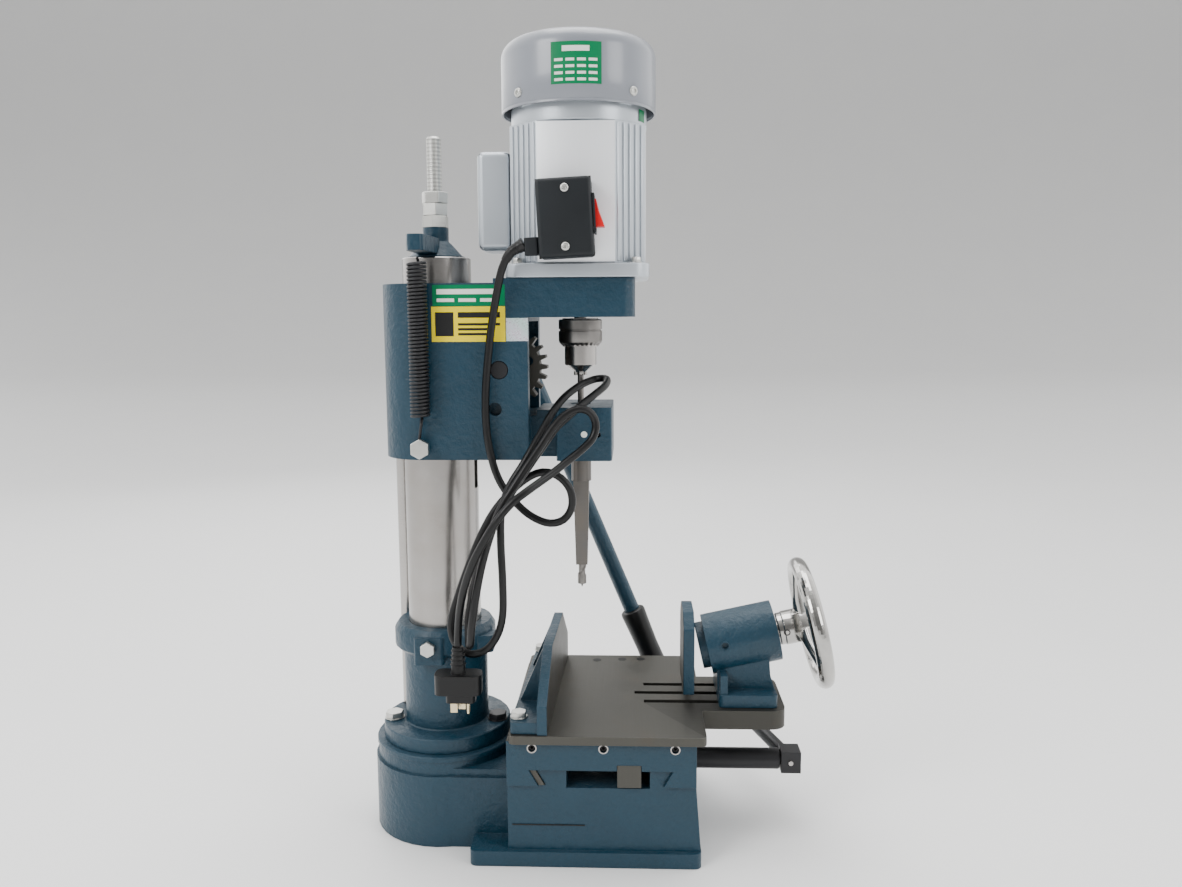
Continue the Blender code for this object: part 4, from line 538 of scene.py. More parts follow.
def refined(node, edge=0.0, segments=2, angle=35):
    """A welded copy of a CAD node with its triangles joined and its edges rounded."""
    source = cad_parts[node]
    deselect()
    source.select_set(True)
    bpy.context.view_layer.objects.active = source
    bpy.ops.object.duplicate()
    obj = bpy.context.active_object
    obj.parent = None
    for key in list(obj.keys()):
        del obj[key]
    obj.name = node + "_shape"
    obj.data.name = obj.name
    edit(obj)
    bpy.ops.mesh.remove_doubles(threshold=5e-6)
    bpy.ops.mesh.dissolve_limited(angle_limit=math.radians(0.6))
    leave()
    if edge:
        bevel = obj.modifiers.new("edges", 'BEVEL')
        bevel.width = edge
        bevel.segments = segments
        bevel.limit_method = 'ANGLE'
        bevel.angle_limit = math.radians(40)
        bevel.use_clamp_overlap = True
        apply_all(obj)
    only(obj)
    bpy.ops.object.shade_smooth_by_angle(angle=math.radians(angle))
    shading = obj.modifiers.new("shading", 'WEIGHTED_NORMAL')
    shading.keep_sharp = True
    apply_all(obj)
    return obj


def bare(obj, material, machined):
    """A second finish on the faces for which machined(centre, normal) holds."""
    obj.data.materials.append(finish(material))
    for face in obj.data.polygons:
        if machined(face.center, face.normal):
            face.material_index = len(obj.data.materials) - 1


def refine(material, body, nodes, edge=0.0, segments=2, angle=35):
    for node in nodes:
        done(refined(node, edge, segments, angle), material, body, node)


def joined(name, *parts):
    """The parts as one piece."""
    deselect()
    for part in parts:
        part.select_set(True)
    bpy.context.view_layer.objects.active = parts[0]
    bpy.ops.object.join()
    return named(name)


def tube(name, points, radius, sides=4):
    """A round wire through the points, made a mesh."""
    curve = bpy.data.curves.new(name, 'CURVE')
    curve.dimensions = '3D'
    curve.bevel_depth = radius
    curve.bevel_resolution = sides
    curve.use_fill_caps = True
    spline = curve.splines.new('POLY')
    spline.points.add(len(points) - 1)
    for point, co in zip(spline.points, points):
        point.co = (*co, 1)
    obj = bpy.data.objects.new(name, curve)
    bpy.context.scene.collection.objects.link(obj)
    only(obj)
    bpy.ops.object.convert(target='MESH')
    obj = bpy.context.active_object
    settle(obj, 50)
    return obj


def smooth_route(points, count):
    """Evenly spaced points on a Catmull-Rom curve through the given ones."""
    ends = [points[0] * 2 - points[1]] + points + [points[-1] * 2 - points[-2]]
    fine = []
    for i in range(1, len(ends) - 2):
        a, b, c, d = ends[i - 1:i + 3]
        for k in range(16):
            t = k / 16
            fine.append((b * 2 + (c - a) * t + (a * 2 - b * 5 + c * 4 - d) * t * t
                         + (b * 3 - a - c * 3 + d) * t ** 3) / 2)
    fine.append(points[-1])
    reach = [0.0]
    for a, b in zip(fine, fine[1:]):
        reach.append(reach[-1] + (b - a).length)
    out = []
    i = 0
    for step in range(count):
        want = reach[-1] * step / (count - 1)
        while i < len(fine) - 2 and reach[i + 1] < want:
            i += 1
        part = (want - reach[i]) / (reach[i + 1] - reach[i])
        out.append(fine[i].lerp(fine[i + 1], min(max(part, 0.0), 1.0)))
    return out, reach[-1]


# ---------------------------------------------------------------- power cord and plug

CORD_ROUTE = (
    (89, -78, 554.5), (79.5, -77, 549), (72, -74, 537), (67, -70, 520), (62, -67, 496),
    (58, -66, 470), (54, -66, 430), (54, -66, 396), (58, -66, 369), (65, -66, 348),
    (76, -66, 332), (91, -68, 318), (108, -71, 311), (122, -73, 314), (130, -75, 326),
    (129, -77, 342), (119, -77, 354), (105, -77, 358), (90, -77, 352), (74, -77, 338),
    (60, -77, 321), (48, -77, 299), (38, -77, 275), (28, -77, 248), (20, -77, 221),
    (23, -77, 202), (36, -77, 191), (51, -78, 195), (62, -80, 209), (68, -84, 230),
    (69, -88, 262), (68, -88, 296), (69, -88, 324), (76, -88, 346), (89, -84, 367),
    (101, -74, 388), (112, -59, 408), (121, -44, 420), (131, -27, 428), (141, -13, 433),
    (151, -8, 436), (160, -15, 436), (159, -29, 431), (150, -43, 424), (139, -56, 416),
    (128, -66, 407), (117, -74, 397), (106, -81, 382), (94, -88, 365), (83, -96, 349),
    (73, -99, 332), (63, -97, 313), (53, -91, 291), (45, -84, 266), (39, -79, 241),
    (36, -78, 222), (37, -84, 209), (39, -95, 205), (42, -105, 211), (44, -109, 226),
    (48, -109, 252), (54, -109, 281), (62, -109, 308), (71, -109, 331), (82, -107, 349),
    (93, -102, 366), (104, -95, 382), (114, -89, 397), (124, -84, 408), (136, -80, 414),
    (147, -77, 411), (152, -76, 400), (149, -78, 388), (139, -83, 378), (127, -90, 369),
    (116, -98, 361), (105, -107, 354), (94, -116, 347), (82, -121, 338), (70, -123, 324),
    (58, -122, 305), (47, -118, 284), (38, -110, 260), (32, -100, 236), (29, -92, 217),
    (28, -90, 203.5),
)


class MORTISER_OT_cord(bpy.types.Operator):
    """Power cord, with its relief at the switch box and the plug at its end"""
    bl_idname = "mortiser.cord"
    bl_label = "Power cord and plug"

    def execute(self, context):
        route = [Vector(point) * MM for point in CORD_ROUTE]
        points, total = smooth_route(route, 400)
        radius = sizes().cord_diameter / 2
        curve = bpy.data.curves.new("cord", 'CURVE')
        curve.dimensions = '3D'
        curve.bevel_depth = radius
        curve.bevel_resolution = 5
        curve.use_fill_caps = True
        spline = curve.splines.new('POLY')
        spline.points.add(len(points) - 1)
        for point, co in zip(spline.points, points):
            point.co = (*co, 1)
        cord = bpy.data.objects.new("cord", curve)
        context.scene.collection.objects.link(cord)
        curve.materials.append(finish("rubber"))
        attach(cord, "head")
        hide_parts("power_cord")

        body = refined("plug_body", 0.5 * MM)
        done(body, "rubber", "head", "plug_body")
        low, high = (Vector(corner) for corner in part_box("plug_body"))
        middle = (low + high) / 2
        end = points[-1]
        rings = []
        for number in range(4):
            height = end.z - (4 + 4.2 * number) * MM
            outer = (6.0 + 0.35 * number) * MM
            profile = ring_profile(outer - 3 * MM, outer, height - 1.3 * MM, height, 0.4 * MM)
            rings.append(spun(f"neck_ring_{number}", profile,
                              Matrix.Translation((end.x, end.y, 0)), 28))
        neck = done(joined("plug_neck_rings", *rings), "rubber", "head", slot="plug_body")
        band = block("plug_parting_line", (low.x - 0.15 * MM, high.x + 0.15 * MM),
                     (middle.y - 0.5 * MM, middle.y + 0.5 * MM),
                     (low.z + 9 * MM, low.z + 25 * MM), 0.2 * MM)
        done(band, "plastic", "head", slot="plug_body")
        for number in range(1, 4):
            pin = done(refined(f"plug_pin_{number}", 0.3 * MM), "brass", "head",
                       f"plug_pin_{number}")
        relief = spun("cord_relief", [(0, 0), (6.2 * MM, 0), (6.2 * MM, 2 * MM), (5.6 * MM, 3 * MM),
                                      (5.5 * MM, 6 * MM), (4.9 * MM, 6.5 * MM), (5.1 * MM, 9 * MM),
                                      (4.6 * MM, 9.5 * MM), (4.8 * MM, 12 * MM),
                                      (4.3 * MM, 12.5 * MM),
                                      (4.4 * MM, 16 * MM), (4.0 * MM, 22 * MM), (0, 22 * MM)],
                      None, 28)
        bend_along(relief, points, 2.5 * MM)
        done(relief, "rubber", "head", slot="strain_relief")
        return {'FINISHED'}


def bend_along(obj, points, before):
    """Lays a piece made along +Z from the origin onto the route, starting a little before it."""
    reach = [0.0]
    for a, b in zip(points, points[1:]):
        reach.append(reach[-1] + (b - a).length)
    first = (points[1] - points[0]).normalized()
    for vert in obj.data.vertices:
        far = vert.co.z - before
        if far <= 0:
            spot, way = points[0] + first * far, first
        else:
            i = next(k for k in range(1, len(reach)) if reach[k] >= far)
            way = (points[i] - points[i - 1]).normalized()
            spot = points[i - 1] + way * (far - reach[i - 1])
        side = way.cross(Vector((0, 1, 0))).normalized()
        vert.co = spot + side * vert.co.x + way.cross(side) * vert.co.y
    settle(obj)


# ---------------------------------------------------------------- castings, column, table

class MORTISER_OT_castings(bpy.types.Operator):
    """Painted castings: base, socket, cap, head, fence, vise and jaw"""
    bl_idname = "mortiser.castings"
    bl_label = "Castings"

    def execute(self, context):
        edge = sizes().casting_edge
        refine("paint", "base", ("base_casting", "column_socket", "column_cap"), edge)
        # A thin black strip along the base's front face, where a line runs along the casting.
        line = block("casting_line", (75 * MM, 141 * MM), (-96.9 * MM, -95 * MM),
                     (37.6 * MM, 38.5 * MM), 0.1 * MM, 1)
        done(line, "black_print_and_shade", "base", slot="base_casting")
        refine("paint", "head", ("head_casting",), edge)
        fence = done(refined("fence", edge), "paint", "table", "fence")
        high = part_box("fence")[1]
        # The fence's face towards the jaw gets the darker iron: painted shade.
        bare(fence, "shaded_iron", lambda at, way: way.x > 0.9 and at.x > high[0] - 4 * MM)
        refine("paint", "table", ("vise_body",), edge)
        refine("paint", "jaw", ("quill",), edge)
        jaw = done(refined("jaw_plate", edge), "paint", "jaw", "jaw_plate")
        # The jaw's face towards the fence gets the darker iron: painted shade.
        bare(jaw, "shaded_iron", lambda at, way: way.x < -0.9)
        return {'FINISHED'}


class MORTISER_OT_column(bpy.types.Operator):
    """Ground column with its rack, guide rod, threaded tie rod and nuts"""
    bl_idname = "mortiser.column"
    bl_label = "Column"

    def execute(self, context):
        refine("column_steel", "base", ("column_tube",), 0.5 * MM)
        refine("bright_steel", "base", ("guide_rod",), 0.5 * MM)
        refine("gear_iron", "base", ("column_rack",), 0.2 * MM)
        low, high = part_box("tie_rod")
        radius = (high[0] - low[0]) / 2
        pitch = sizes().thread_pitch
        depth = 0.32 * pitch
        thread_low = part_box("tie_rod_nut_1")[0][2] - 12 * MM
        profile = [(0, low[2]), (radius - depth, low[2]), (radius - depth, thread_low)]
        count = int((high[2] - 1.5 * MM - thread_low) / pitch)
        for turn in range(count):
            at = thread_low + turn * pitch
            profile += [(radius, at + 0.45 * pitch), (radius, at + 0.58 * pitch),
                        (radius - depth, at + pitch)]
        profile += [(radius - 1.5 * MM, high[2]), (0, high[2])]
        done(spun("threaded_rod", profile, None, 40, angle=75), "thread", "base", "tie_rod")
        refine("zinc", "base", ("tie_rod_nut_1", "tie_rod_nut_2", "tie_rod_nut_3"), 1.4 * MM)
        return {'FINISHED'}


class MORTISER_OT_bolts(bpy.types.Operator):
    """Plated hex-head bolts with their washers, and small screws on the head and the table's gib"""
    bl_idname = "mortiser.bolts"
    bl_label = "Bolts and screws"

    def execute(self, context):
        for body, nodes in (("base", ("socket_bolt_1", "socket_bolt_2", "socket_bolt_3",
                                      "socket_lock_bolt")),
                            ("head", ("spring_bolt",)),
                            ("table", ("fence_bolt_1", "fence_bolt_2", "vise_bolt_1",
                                       "vise_bolt_2"))):
            for node in nodes:
                # The bolt socket_bolt_2 is made dark, unlike the other bolts.
                material = "oxide" if node == "socket_bolt_2" else "zinc"
                done(refined(node, 0.7 * MM), material, body, node)
            for node in nodes:
                if node not in ("spring_bolt", "socket_lock_bolt"):
                    washer(node, body)
        screw("head_top_screw", (74 * MM, -45 * MM, 524.2 * MM), (0, 0, 1), 4.6 * MM, 3.4 * MM,
              "head")
        # A white disc in the bracket's hole: painted light where the bright backdrop shows through.
        screw("bracket_hole_light", (140 * MM, -45 * MM, 387.5 * MM), (0, -1, 0), 2.9 * MM, 0.5 * MM,
              "head",
              "white_print_and_light")
        for number, x in enumerate((94, 158, 222)):
            set_screw(f"gib_screw_{number + 1}", (x * MM, -100 * MM, 112 * MM), "table")
        return {'FINISHED'}


def washer(node, body):
    """A dished ring under a bolt's head, stamped round its own axis."""
    low, high = (Vector(corner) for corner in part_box(node))
    size = high - low
    axis = 2
    sign = 1 if node.startswith("vise") else -1
    across = min(size[i] for i in range(3) if i != axis)
    head = {16: 6.4 * MM, 13: 5.5 * MM}[round(across / MM)]
    if node.startswith("vise"):
        head = 5 * MM
    seat = (low + high) / 2
    seat[axis] = (low[axis] + head) if sign > 0 else (high[axis] - head)
    way = Vector([sign if i == axis else 0 for i in range(3)])
    profile = ring_profile(across * 0.34, across * 0.60, -0.9 * MM, 0.1 * MM, 0.25 * MM)
    piece = spun(node + "_washer", profile, along(seat, seat + way), 36)
    # The washer of socket_bolt_2 is made dark too.
    done(piece, "oxide" if node == "socket_bolt_2" else "zinc", body, slot=node)


def screw(name, seat, way, radius, height, body, material="zinc", slot="spring_bolt"):
    """A pan-head screw with a round recess in its head, standing on its seat."""
    seat = Vector(seat)
    recess = 0.34 * radius
    profile = [(0, height * 0.45), (recess, height * 0.5), (recess * 1.25, height * 0.96),
               (radius * 0.6, height), (radius * 0.86, height * 0.82), (radius, height * 0.45),
               (radius, 0), (0, 0)]
    piece = spun(name, profile, along(seat, seat + Vector(way)), 28)
    done(piece, material, body, slot=slot)
    return piece


def set_screw(name, seat, body):
    """A socket set screw deep in a chamfered hole, with the hole's bright ring round it."""
    matrix = along(Vector(seat), Vector(seat) + Vector((0, -1, 0)))
    profile = [(1.5 * MM, -5.2 * MM), (1.5 * MM, -2.4 * MM), (2.9 * MM, -2.4 * MM),
               (3.2 * MM, -2.9 * MM),
               (3.2 * MM, -6 * MM), (0, -6 * MM), (0, -5.2 * MM), (1.5 * MM, -5.2 * MM)]
    done(spun(name, profile, matrix, 24), "oxide", body, slot="gib")
    ring = ring_profile(3.35 * MM, 4.5 * MM, -0.6 * MM, 0.12 * MM, 0.1 * MM)
    done(spun(name + "_rim", ring, matrix, 28), "bright_steel", body, slot="gib")


class MORTISER_OT_table(bpy.types.Operator):
    """Machined cross-sliding table with its gib and rack"""
    bl_idname = "mortiser.table"
    bl_label = "Table"

    def execute(self, context):
        edge = sizes().machined_edge
        saddle = done(refined("table_saddle", edge), "paint", "table", "table_saddle")
        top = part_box("table_saddle")[1][2]
        bare(saddle, "table_iron", lambda at, way: at.z > top - 8.5 * MM and at.x < 251 * MM
             and not (way.y < -0.9 and at.z < top - 8 * MM))
        in_slot = 27 * MM
        # Slot walls and the tongue get the darker iron: painted shade.
        bare(saddle, "shaded_iron", lambda at, way: at.x > 251 * MM or (
            at.x > 180 * MM and abs(at.y) < in_slot and abs(way.z) < 0.3 and at.z > top - 19 * MM))
        refine("gear_iron", "table", ("gib",), 0.2 * MM)
        # Black discs stand in for the shaded insides of three holes in the table's top: painted
        # shade.
        for number, (x, y) in enumerate(((146, 91), (173, 94), (193, 95))):
            hole = Vector((x * MM, y * MM, top))
            done(spun(f"table_hole_shade_{number + 1}", [(0, 0.08 * MM), (4.6 * MM, 0.08 * MM),
                                                   (4.6 * MM, -1 * MM),
                                                   (0, -1 * MM)], Matrix.Translation(hole), 24),
                 "black_print_and_shade", "table", slot="table_saddle")
        refine("gear_iron", "table", ("table_rack",), 0.2 * MM)
        return {'FINISHED'}


# ---------------------------------------------------------------- feed and traverse

class MORTISER_OT_feed(bpy.types.Operator):
    """Feed gear and shaft, the ratchet lever with its moulded grip, and the return spring"""
    bl_idname = "mortiser.feed"
    bl_label = "Feed and spring"

    def execute(self, context):
        refine("gear_iron", "feed_shaft", ("feed_gear",), 0.25 * MM)
        refine("oxide", "feed_shaft", ("feed_shaft",), 0.5 * MM)
        refine("paint", "feed_lever", ("feed_lever",), 0.8 * MM)
        low, high = (Vector(corner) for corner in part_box("feed_lever_grip"))
        y = (low.y + high.y) / 2
        radius = (high.y - low.y) / 2
        pivot = Vector((65 * MM, y, 447 * MM))
        way = Vector((math.sin(LEVER_LEAN), 0, -math.cos(LEVER_LEAN)))
        end = pivot + way * 420 * MM
        start = pivot + way * 308 * MM
        span = (end - start).length
        bore = 9.2 * MM
        profile = [(bore, 0), (radius - 3 * MM, 0), (radius - 0.8 * MM, 1.5 * MM), (radius, 4 * MM),
                   (radius - 0.6 * MM, 16 * MM), (radius - 1.6 * MM, 45 * MM),
                   (radius - 0.8 * MM, span - 30 * MM),
                   (radius, span - 8 * MM), (radius - 1.2 * MM, span - 3 * MM),
                   (radius - 4 * MM, span),
                   (0, span), (0, span - 7 * MM), (bore, span - 7 * MM), (bore, 0)]
        grip = spun("moulded_grip", profile, along(start, end), 40)
        done(grip, "rubber", "feed_lever", "feed_lever_grip")
        collar = spun("lever_hub_collar", ring_profile(8.4 * MM, 13 * MM, 0, 2.4 * MM, 0.8 * MM),
                      along(pivot + Vector((0, 13 * MM, 0)), pivot + Vector((0, 20 * MM, 0))), 36)
        done(collar, "zinc", "feed_lever", slot="spring_bolt")
        self.spring()
        return {'FINISHED'}

    def spring(self):
        """A close coil that hangs from a hook on the cap's ear and ends in a hook on its bolt."""
        wire = sizes().spring_wire / 2
        x = -4.5 * MM
        y = -68.4 * MM
        coil = 7.6 * MM
        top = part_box("return_spring")[1][2] - 4 * MM
        bottom = 406 * MM
        turns = sizes().spring_turns
        steps = turns * 20
        points = [Vector((x, y + coil * 0.6, top + 3.5 * MM)),
                  Vector((x, y + coil * 0.95, top + 1.5 * MM))]
        for step in range(steps + 1):
            angle = 2 * math.pi * step / 20
            points.append(Vector((x + coil * math.sin(angle), y + coil * math.cos(angle),
                                  top - (top - bottom) * step / steps)))
        bolt = Vector((x - 1 * MM, 0, 377.5 * MM))
        hook = [(x, y + coil * 0.8, bottom - 2.2 * MM), (x, y + 3 * MM, bottom - 6 * MM),
                (x - 1 * MM, y + 3 * MM, bottom - 12 * MM)]
        for step in range(10):
            angle = math.radians(75 - 24 * step)
            hook.append((bolt.x + 6.4 * MM * math.cos(angle) * -1, y + 4 * MM,
                         bolt.z + 6.4 * MM * math.sin(angle)))
        points += [Vector(point) for point in hook]
        spring = tube("coil_spring", points, wire, 3)
        spring.data.materials.clear()
        spring.data.materials.append(finish("oxide"))
        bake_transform(spring)
        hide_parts("return_spring")


class MORTISER_OT_traverse(bpy.types.Operator):
    """Pinion shaft and lever that move the table"""
    bl_idname = "mortiser.traverse"
    bl_label = "Table traverse"

    def execute(self, context):
        refine("oxide", "traverse_shaft", ("traverse_shaft",), 0.4 * MM)
        refine("oxide", "traverse_lever", ("traverse_lever",), 0.7 * MM)
        pin = spun("traverse_pin", [(0, 0), (2.6 * MM, 0), (2.6 * MM, 1.2 * MM),
                                    (2.2 * MM, 1.8 * MM), (0, 1.9 * MM)],
                   along((337 * MM, -20.4 * MM, 64 * MM), (337 * MM, -30 * MM, 64 * MM)), 24)
        done(pin, "bright_steel", "traverse_lever", slot="feed_shaft")
        return {'FINISHED'}


# ---------------------------------------------------------------- spindle, chuck, tools

class MORTISER_OT_spindle(bpy.types.Operator):
    """Keyed chuck with a knurled sleeve, the auger bit, and the hollow chisel"""
    bl_idname = "mortiser.spindle"
    bl_label = "Chuck and tools"

    def execute(self, context):
        axis = Matrix.Translation((SPINDLE_X, 0, 0))
        low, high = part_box("chuck_sleeve")
        radius = (high[0] - low[0]) / 2
        top = high[2]
        bottom = low[2]
        middle = top - 10 * MM
        inner = radius - 3.2 * MM
        profile = [(inner, bottom), (radius - 3 * MM, bottom), (radius - 0.4 * MM, bottom + 3 * MM),
                   (radius - 0.4 * MM, bottom + 4 * MM), (radius, bottom + 4.6 * MM),
                   (radius, middle - 1 * MM), (radius - 1.1 * MM, middle - 0.6 * MM),
                   (radius - 1.1 * MM, middle + 0.6 * MM), (radius, middle + 1 * MM),
                   (radius, top - 1 * MM), (radius - 1 * MM, top), (inner, top), (inner, bottom)]
        sleeve = spun("knurled_sleeve", profile, None, 96)
        self.toothed(sleeve, lambda v: v.z < bottom + 1 * MM
                     and Vector(v[:2]).length > radius - 3.4 * MM, 4, 0.90)
        self.toothed(sleeve, lambda v: bottom + 4.2 * MM < v.z < middle - 0.8 * MM
                     and Vector(v[:2]).length > radius - 0.3 * MM, 2, 0.978)
        place(sleeve, axis)
        done(sleeve, "sleeve_steel", "spindle", "chuck_sleeve")
        refine("bright_steel", "spindle", ("chuck_body",), 0.4 * MM)
        low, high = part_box("chuck_body")
        for number in range(3):
            angle = 2 * math.pi * number / 3 + math.radians(40)
            jaw = block(f"chuck_jaw_{number + 1}", (3.25 * MM, 6.4 * MM), (-1.9 * MM, 1.9 * MM),
                        (low[2] - 3.2 * MM, low[2] + 3 * MM), 0.5 * MM)
            place(jaw, axis @ Matrix.Rotation(angle, 4, 'Z'))
            done(jaw, "bright_steel", "spindle", slot="chuck_body")
        refine("bright_steel", "spindle", ("rotor_shaft",), 0.2 * MM)
        refine("sleeve_steel", "spindle", ("auger_bit",), 0.2 * MM)
        self.flutes()
        refine("tool_steel", "head", ("chisel",), 0.3 * MM)
        refine("plastic", "spindle", ("cooling_fan",), 0.4 * MM)
        refine("copper", "head", ("motor_stator",))
        refine("bright_steel", "head", ("lower_bearing", "upper_bearing"), 0.6 * MM)
        return {'FINISHED'}

    def toothed(self, obj, chosen, pitch, factor):
        """Pulls every other run of chosen vertices towards the axis, as a knurl or key teeth."""
        edit(obj)
        bpy.ops.mesh.select_all(action='DESELECT')
        leave()
        for vert in obj.data.vertices:
            slot = math.atan2(vert.co.y, vert.co.x) / (2 * math.pi) * 96
            vert.select = bool(chosen(vert.co)) and round(float(slot)) % pitch < pitch / 2
        bpy.ops.object.mode_set(mode='EDIT')
        bpy.ops.transform.resize(value=(factor, factor, 1), center_override=(0, 0, 0))
        leave()

    def flutes(self):
        """The auger's spiral land, from the chisel's chip window down to the cutters."""
        low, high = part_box("auger_bit")
        radius = (high[0] - low[0]) / 2
        bottom = low[2] + 5 * MM
        top = low[2] + 84 * MM
        points = []
        for step in range(181):
            part = step / 180
            angle = 2 * math.pi * 5 * part
            points.append(Vector((SPINDLE_X + (radius - 1.3 * MM) * math.cos(angle),
                                  (radius - 1.3 * MM) * math.sin(angle),
                                  bottom + (top - bottom) * part)))
        land = tube("auger_flute", points, 1.25 * MM, 2)
        done(land, "sleeve_steel", "spindle", slot="auger_bit")
        cone = spun("auger_point", [(0, -6 * MM), (0.9 * MM, -2.2 * MM), (1.3 * MM, 0),
                                    (0, 0.5 * MM)],
                    Matrix.Translation((SPINDLE_X, 0, low[2] + 6 * MM)), 20)
        done(cone, "sleeve_steel", "spindle", slot="auger_bit")


# ---------------------------------------------------------------- motor

class MORTISER_OT_motor(bpy.types.Operator):
    """Finned motor with its flange, top bell, vented fan cover and capacitor box"""
    bl_idname = "mortiser.motor"
    bl_label = "Motor"

    def execute(self, context):
        refine("motor", "head", ("motor_flange", "motor_top_bell"), 0.9 * MM)
        refine("motor", "head", ("motor_housing",), 0.8 * MM)
        refine("motor", "head", ("capacitor_box",), 0.0)
        low, high = (Vector(corner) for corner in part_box("motor_housing"))
        self.fins(low, high)
        half = 34.0 * MM
        for number in range(3):
            panel = block(f"housing_panel_{number + 1}", (-half, half), (-60.8 * MM, -59.6 * MM),
                          (low.z + 1 * MM, high.z - 1 * MM), 0.3 * MM)
            place(panel, Matrix.Translation((SPINDLE_X, 0, 0))
                  @ Matrix.Rotation(math.pi / 2 * number, 4, 'Z'))
            done(panel, "panel", "head", slot="motor_housing")
        self.cover()
        for number, angle in enumerate((45, 135, 225, 315)):
            turn = math.radians(angle)
            out = Vector((math.cos(turn), math.sin(turn), 0))
            seat = Vector((SPINDLE_X, 0, COVER_LOW + 11 * MM)) + out * 70.2 * MM
            screw(f"cover_screw_{number + 1}", seat, out, 4.2 * MM, 2.4 * MM, "head",
                  slot="fan_cover")
            corner = Vector((SPINDLE_X, 0, BELL_LOW - 121.6 * MM)) + out * 74 * MM
            bolt_head(f"flange_screw_{number + 1}", corner, 8 * MM, 5 * MM, "head")
            tie = Vector((SPINDLE_X, 0, BELL_LOW + 17.8 * MM)) + out * 55 * MM
            screw(f"bell_screw_{number + 1}", tie, (0, 0, 1), 4 * MM, 3 * MM, "head",
                  slot="motor_top_bell")
        return {'FINISHED'}

    def fins(self, low, high):
        """Upright cooling fins on the housing's slanted sides, one modelled and copied."""
        parts = []
        fin = block("fin", (-2.2 * MM, 2.2 * MM), (-1.5 * MM, 1.0 * MM),
                    (low.z + 1.5 * MM, high.z - 1.5 * MM), 0.9 * MM)
        for corner in range(4):
            turn = Matrix.Rotation(math.pi / 2 * corner, 4, 'Z')
            a = Vector((34.5 * MM, -60 * MM, 0))
            b = Vector((60 * MM, -34.5 * MM, 0))
            for number in range(5):
                spot = a.lerp(b, (number + 0.5) / 5)
                copy = fin.copy()
                copy.data = fin.data.copy()
                bpy.context.scene.collection.objects.link(copy)
                place(copy, Matrix.Translation((SPINDLE_X, 0, 0)) @ turn @ Matrix.Translation(spot)
                      @ Matrix.Rotation(math.radians(45), 4, 'Z'))
                parts.append(copy)
        bpy.data.objects.remove(fin, do_unlink=True)
        done(joined("housing_fins", *parts), "motor", "head", slot="motor_housing")

    def cover(self):
        """A pressed cap: spun, its vents cut out, then given its wall."""
        outer = 70.4 * MM
        bend = 15 * MM
        dome = 8 * MM
        crown = outer - bend
        profile = [(0, COVER_HIGH)]
        profile += [(reach * MM, COVER_HIGH - dome * (reach * MM / crown) ** 2) for reach in (14,
                19, 24, 29, 34, 39)]
        for step in range(9):
            angle = math.radians(75 - 9.375 * step)
            profile.append((crown + bend * math.cos(angle),
                            COVER_HIGH - dome - bend + bend * math.sin(angle)))
        profile += [(outer, COVER_LOW + 24 * MM), (outer, COVER_LOW + 3.2 * MM),
                    (outer - 0.5 * MM, COVER_LOW + 2.4 * MM), (outer, COVER_LOW + 1.6 * MM),
                    (outer, COVER_LOW)]
        cover = spun("pressed_cover", profile, None, 96)
        cover.data.update()
        edit(cover)
        bpy.ops.mesh.select_mode(type='FACE')
        bpy.ops.mesh.select_all(action='DESELECT')
        leave()
        for face in cover.data.polygons:
            away = Vector(face.center[:2]).length
            slot = math.atan2(face.center.y, face.center.x) / (2 * math.pi) * 96
            face.select = (19 * MM < away < 39 * MM and face.normal.z > 0.8
                           and int(math.floor(slot)) % 6 < 3)
        bpy.ops.object.mode_set(mode='EDIT')
        bpy.ops.mesh.delete(type='FACE')
        leave()
        wall = cover.modifiers.new("wall", 'SOLIDIFY')
        wall.thickness = 1.5 * MM
        wall.offset = -1
        apply_all(cover)
        bpy.ops.object.shade_smooth_by_angle(angle=math.radians(35))
        place(cover, Matrix.Translation((SPINDLE_X, 0, 0)))
        done(cover, "enamel", "head", "fan_cover")


def bolt_head(name, seat, across, height, body, slot="spring_bolt"):
    """A hex head with a chamfered top, on a washer."""
    deselect()
    bpy.ops.mesh.primitive_cylinder_add(vertices=6, radius=across / math.sqrt(3), depth=height,
                                        location=(0, 0, height / 2))
    obj = named(name)
    bpy.ops.object.transform_apply(location=True, rotation=True, scale=True)
    edit(obj)
    bpy.ops.mesh.bevel(offset=0.6 * MM, segments=2, affect='EDGES')
    leave()
    settle(obj)
    ring = spun(name + "_ring", ring_profile(across * 0.3, across * 0.66, -0.1 * MM, 0.8 * MM,
                                             0.2 * MM), None, 32)
    piece = joined(name, obj, ring)
    place(piece, Matrix.Translation(Vector(seat)))
    return done(piece, "zinc", body, slot=slot)


# ---------------------------------------------------------------- switch

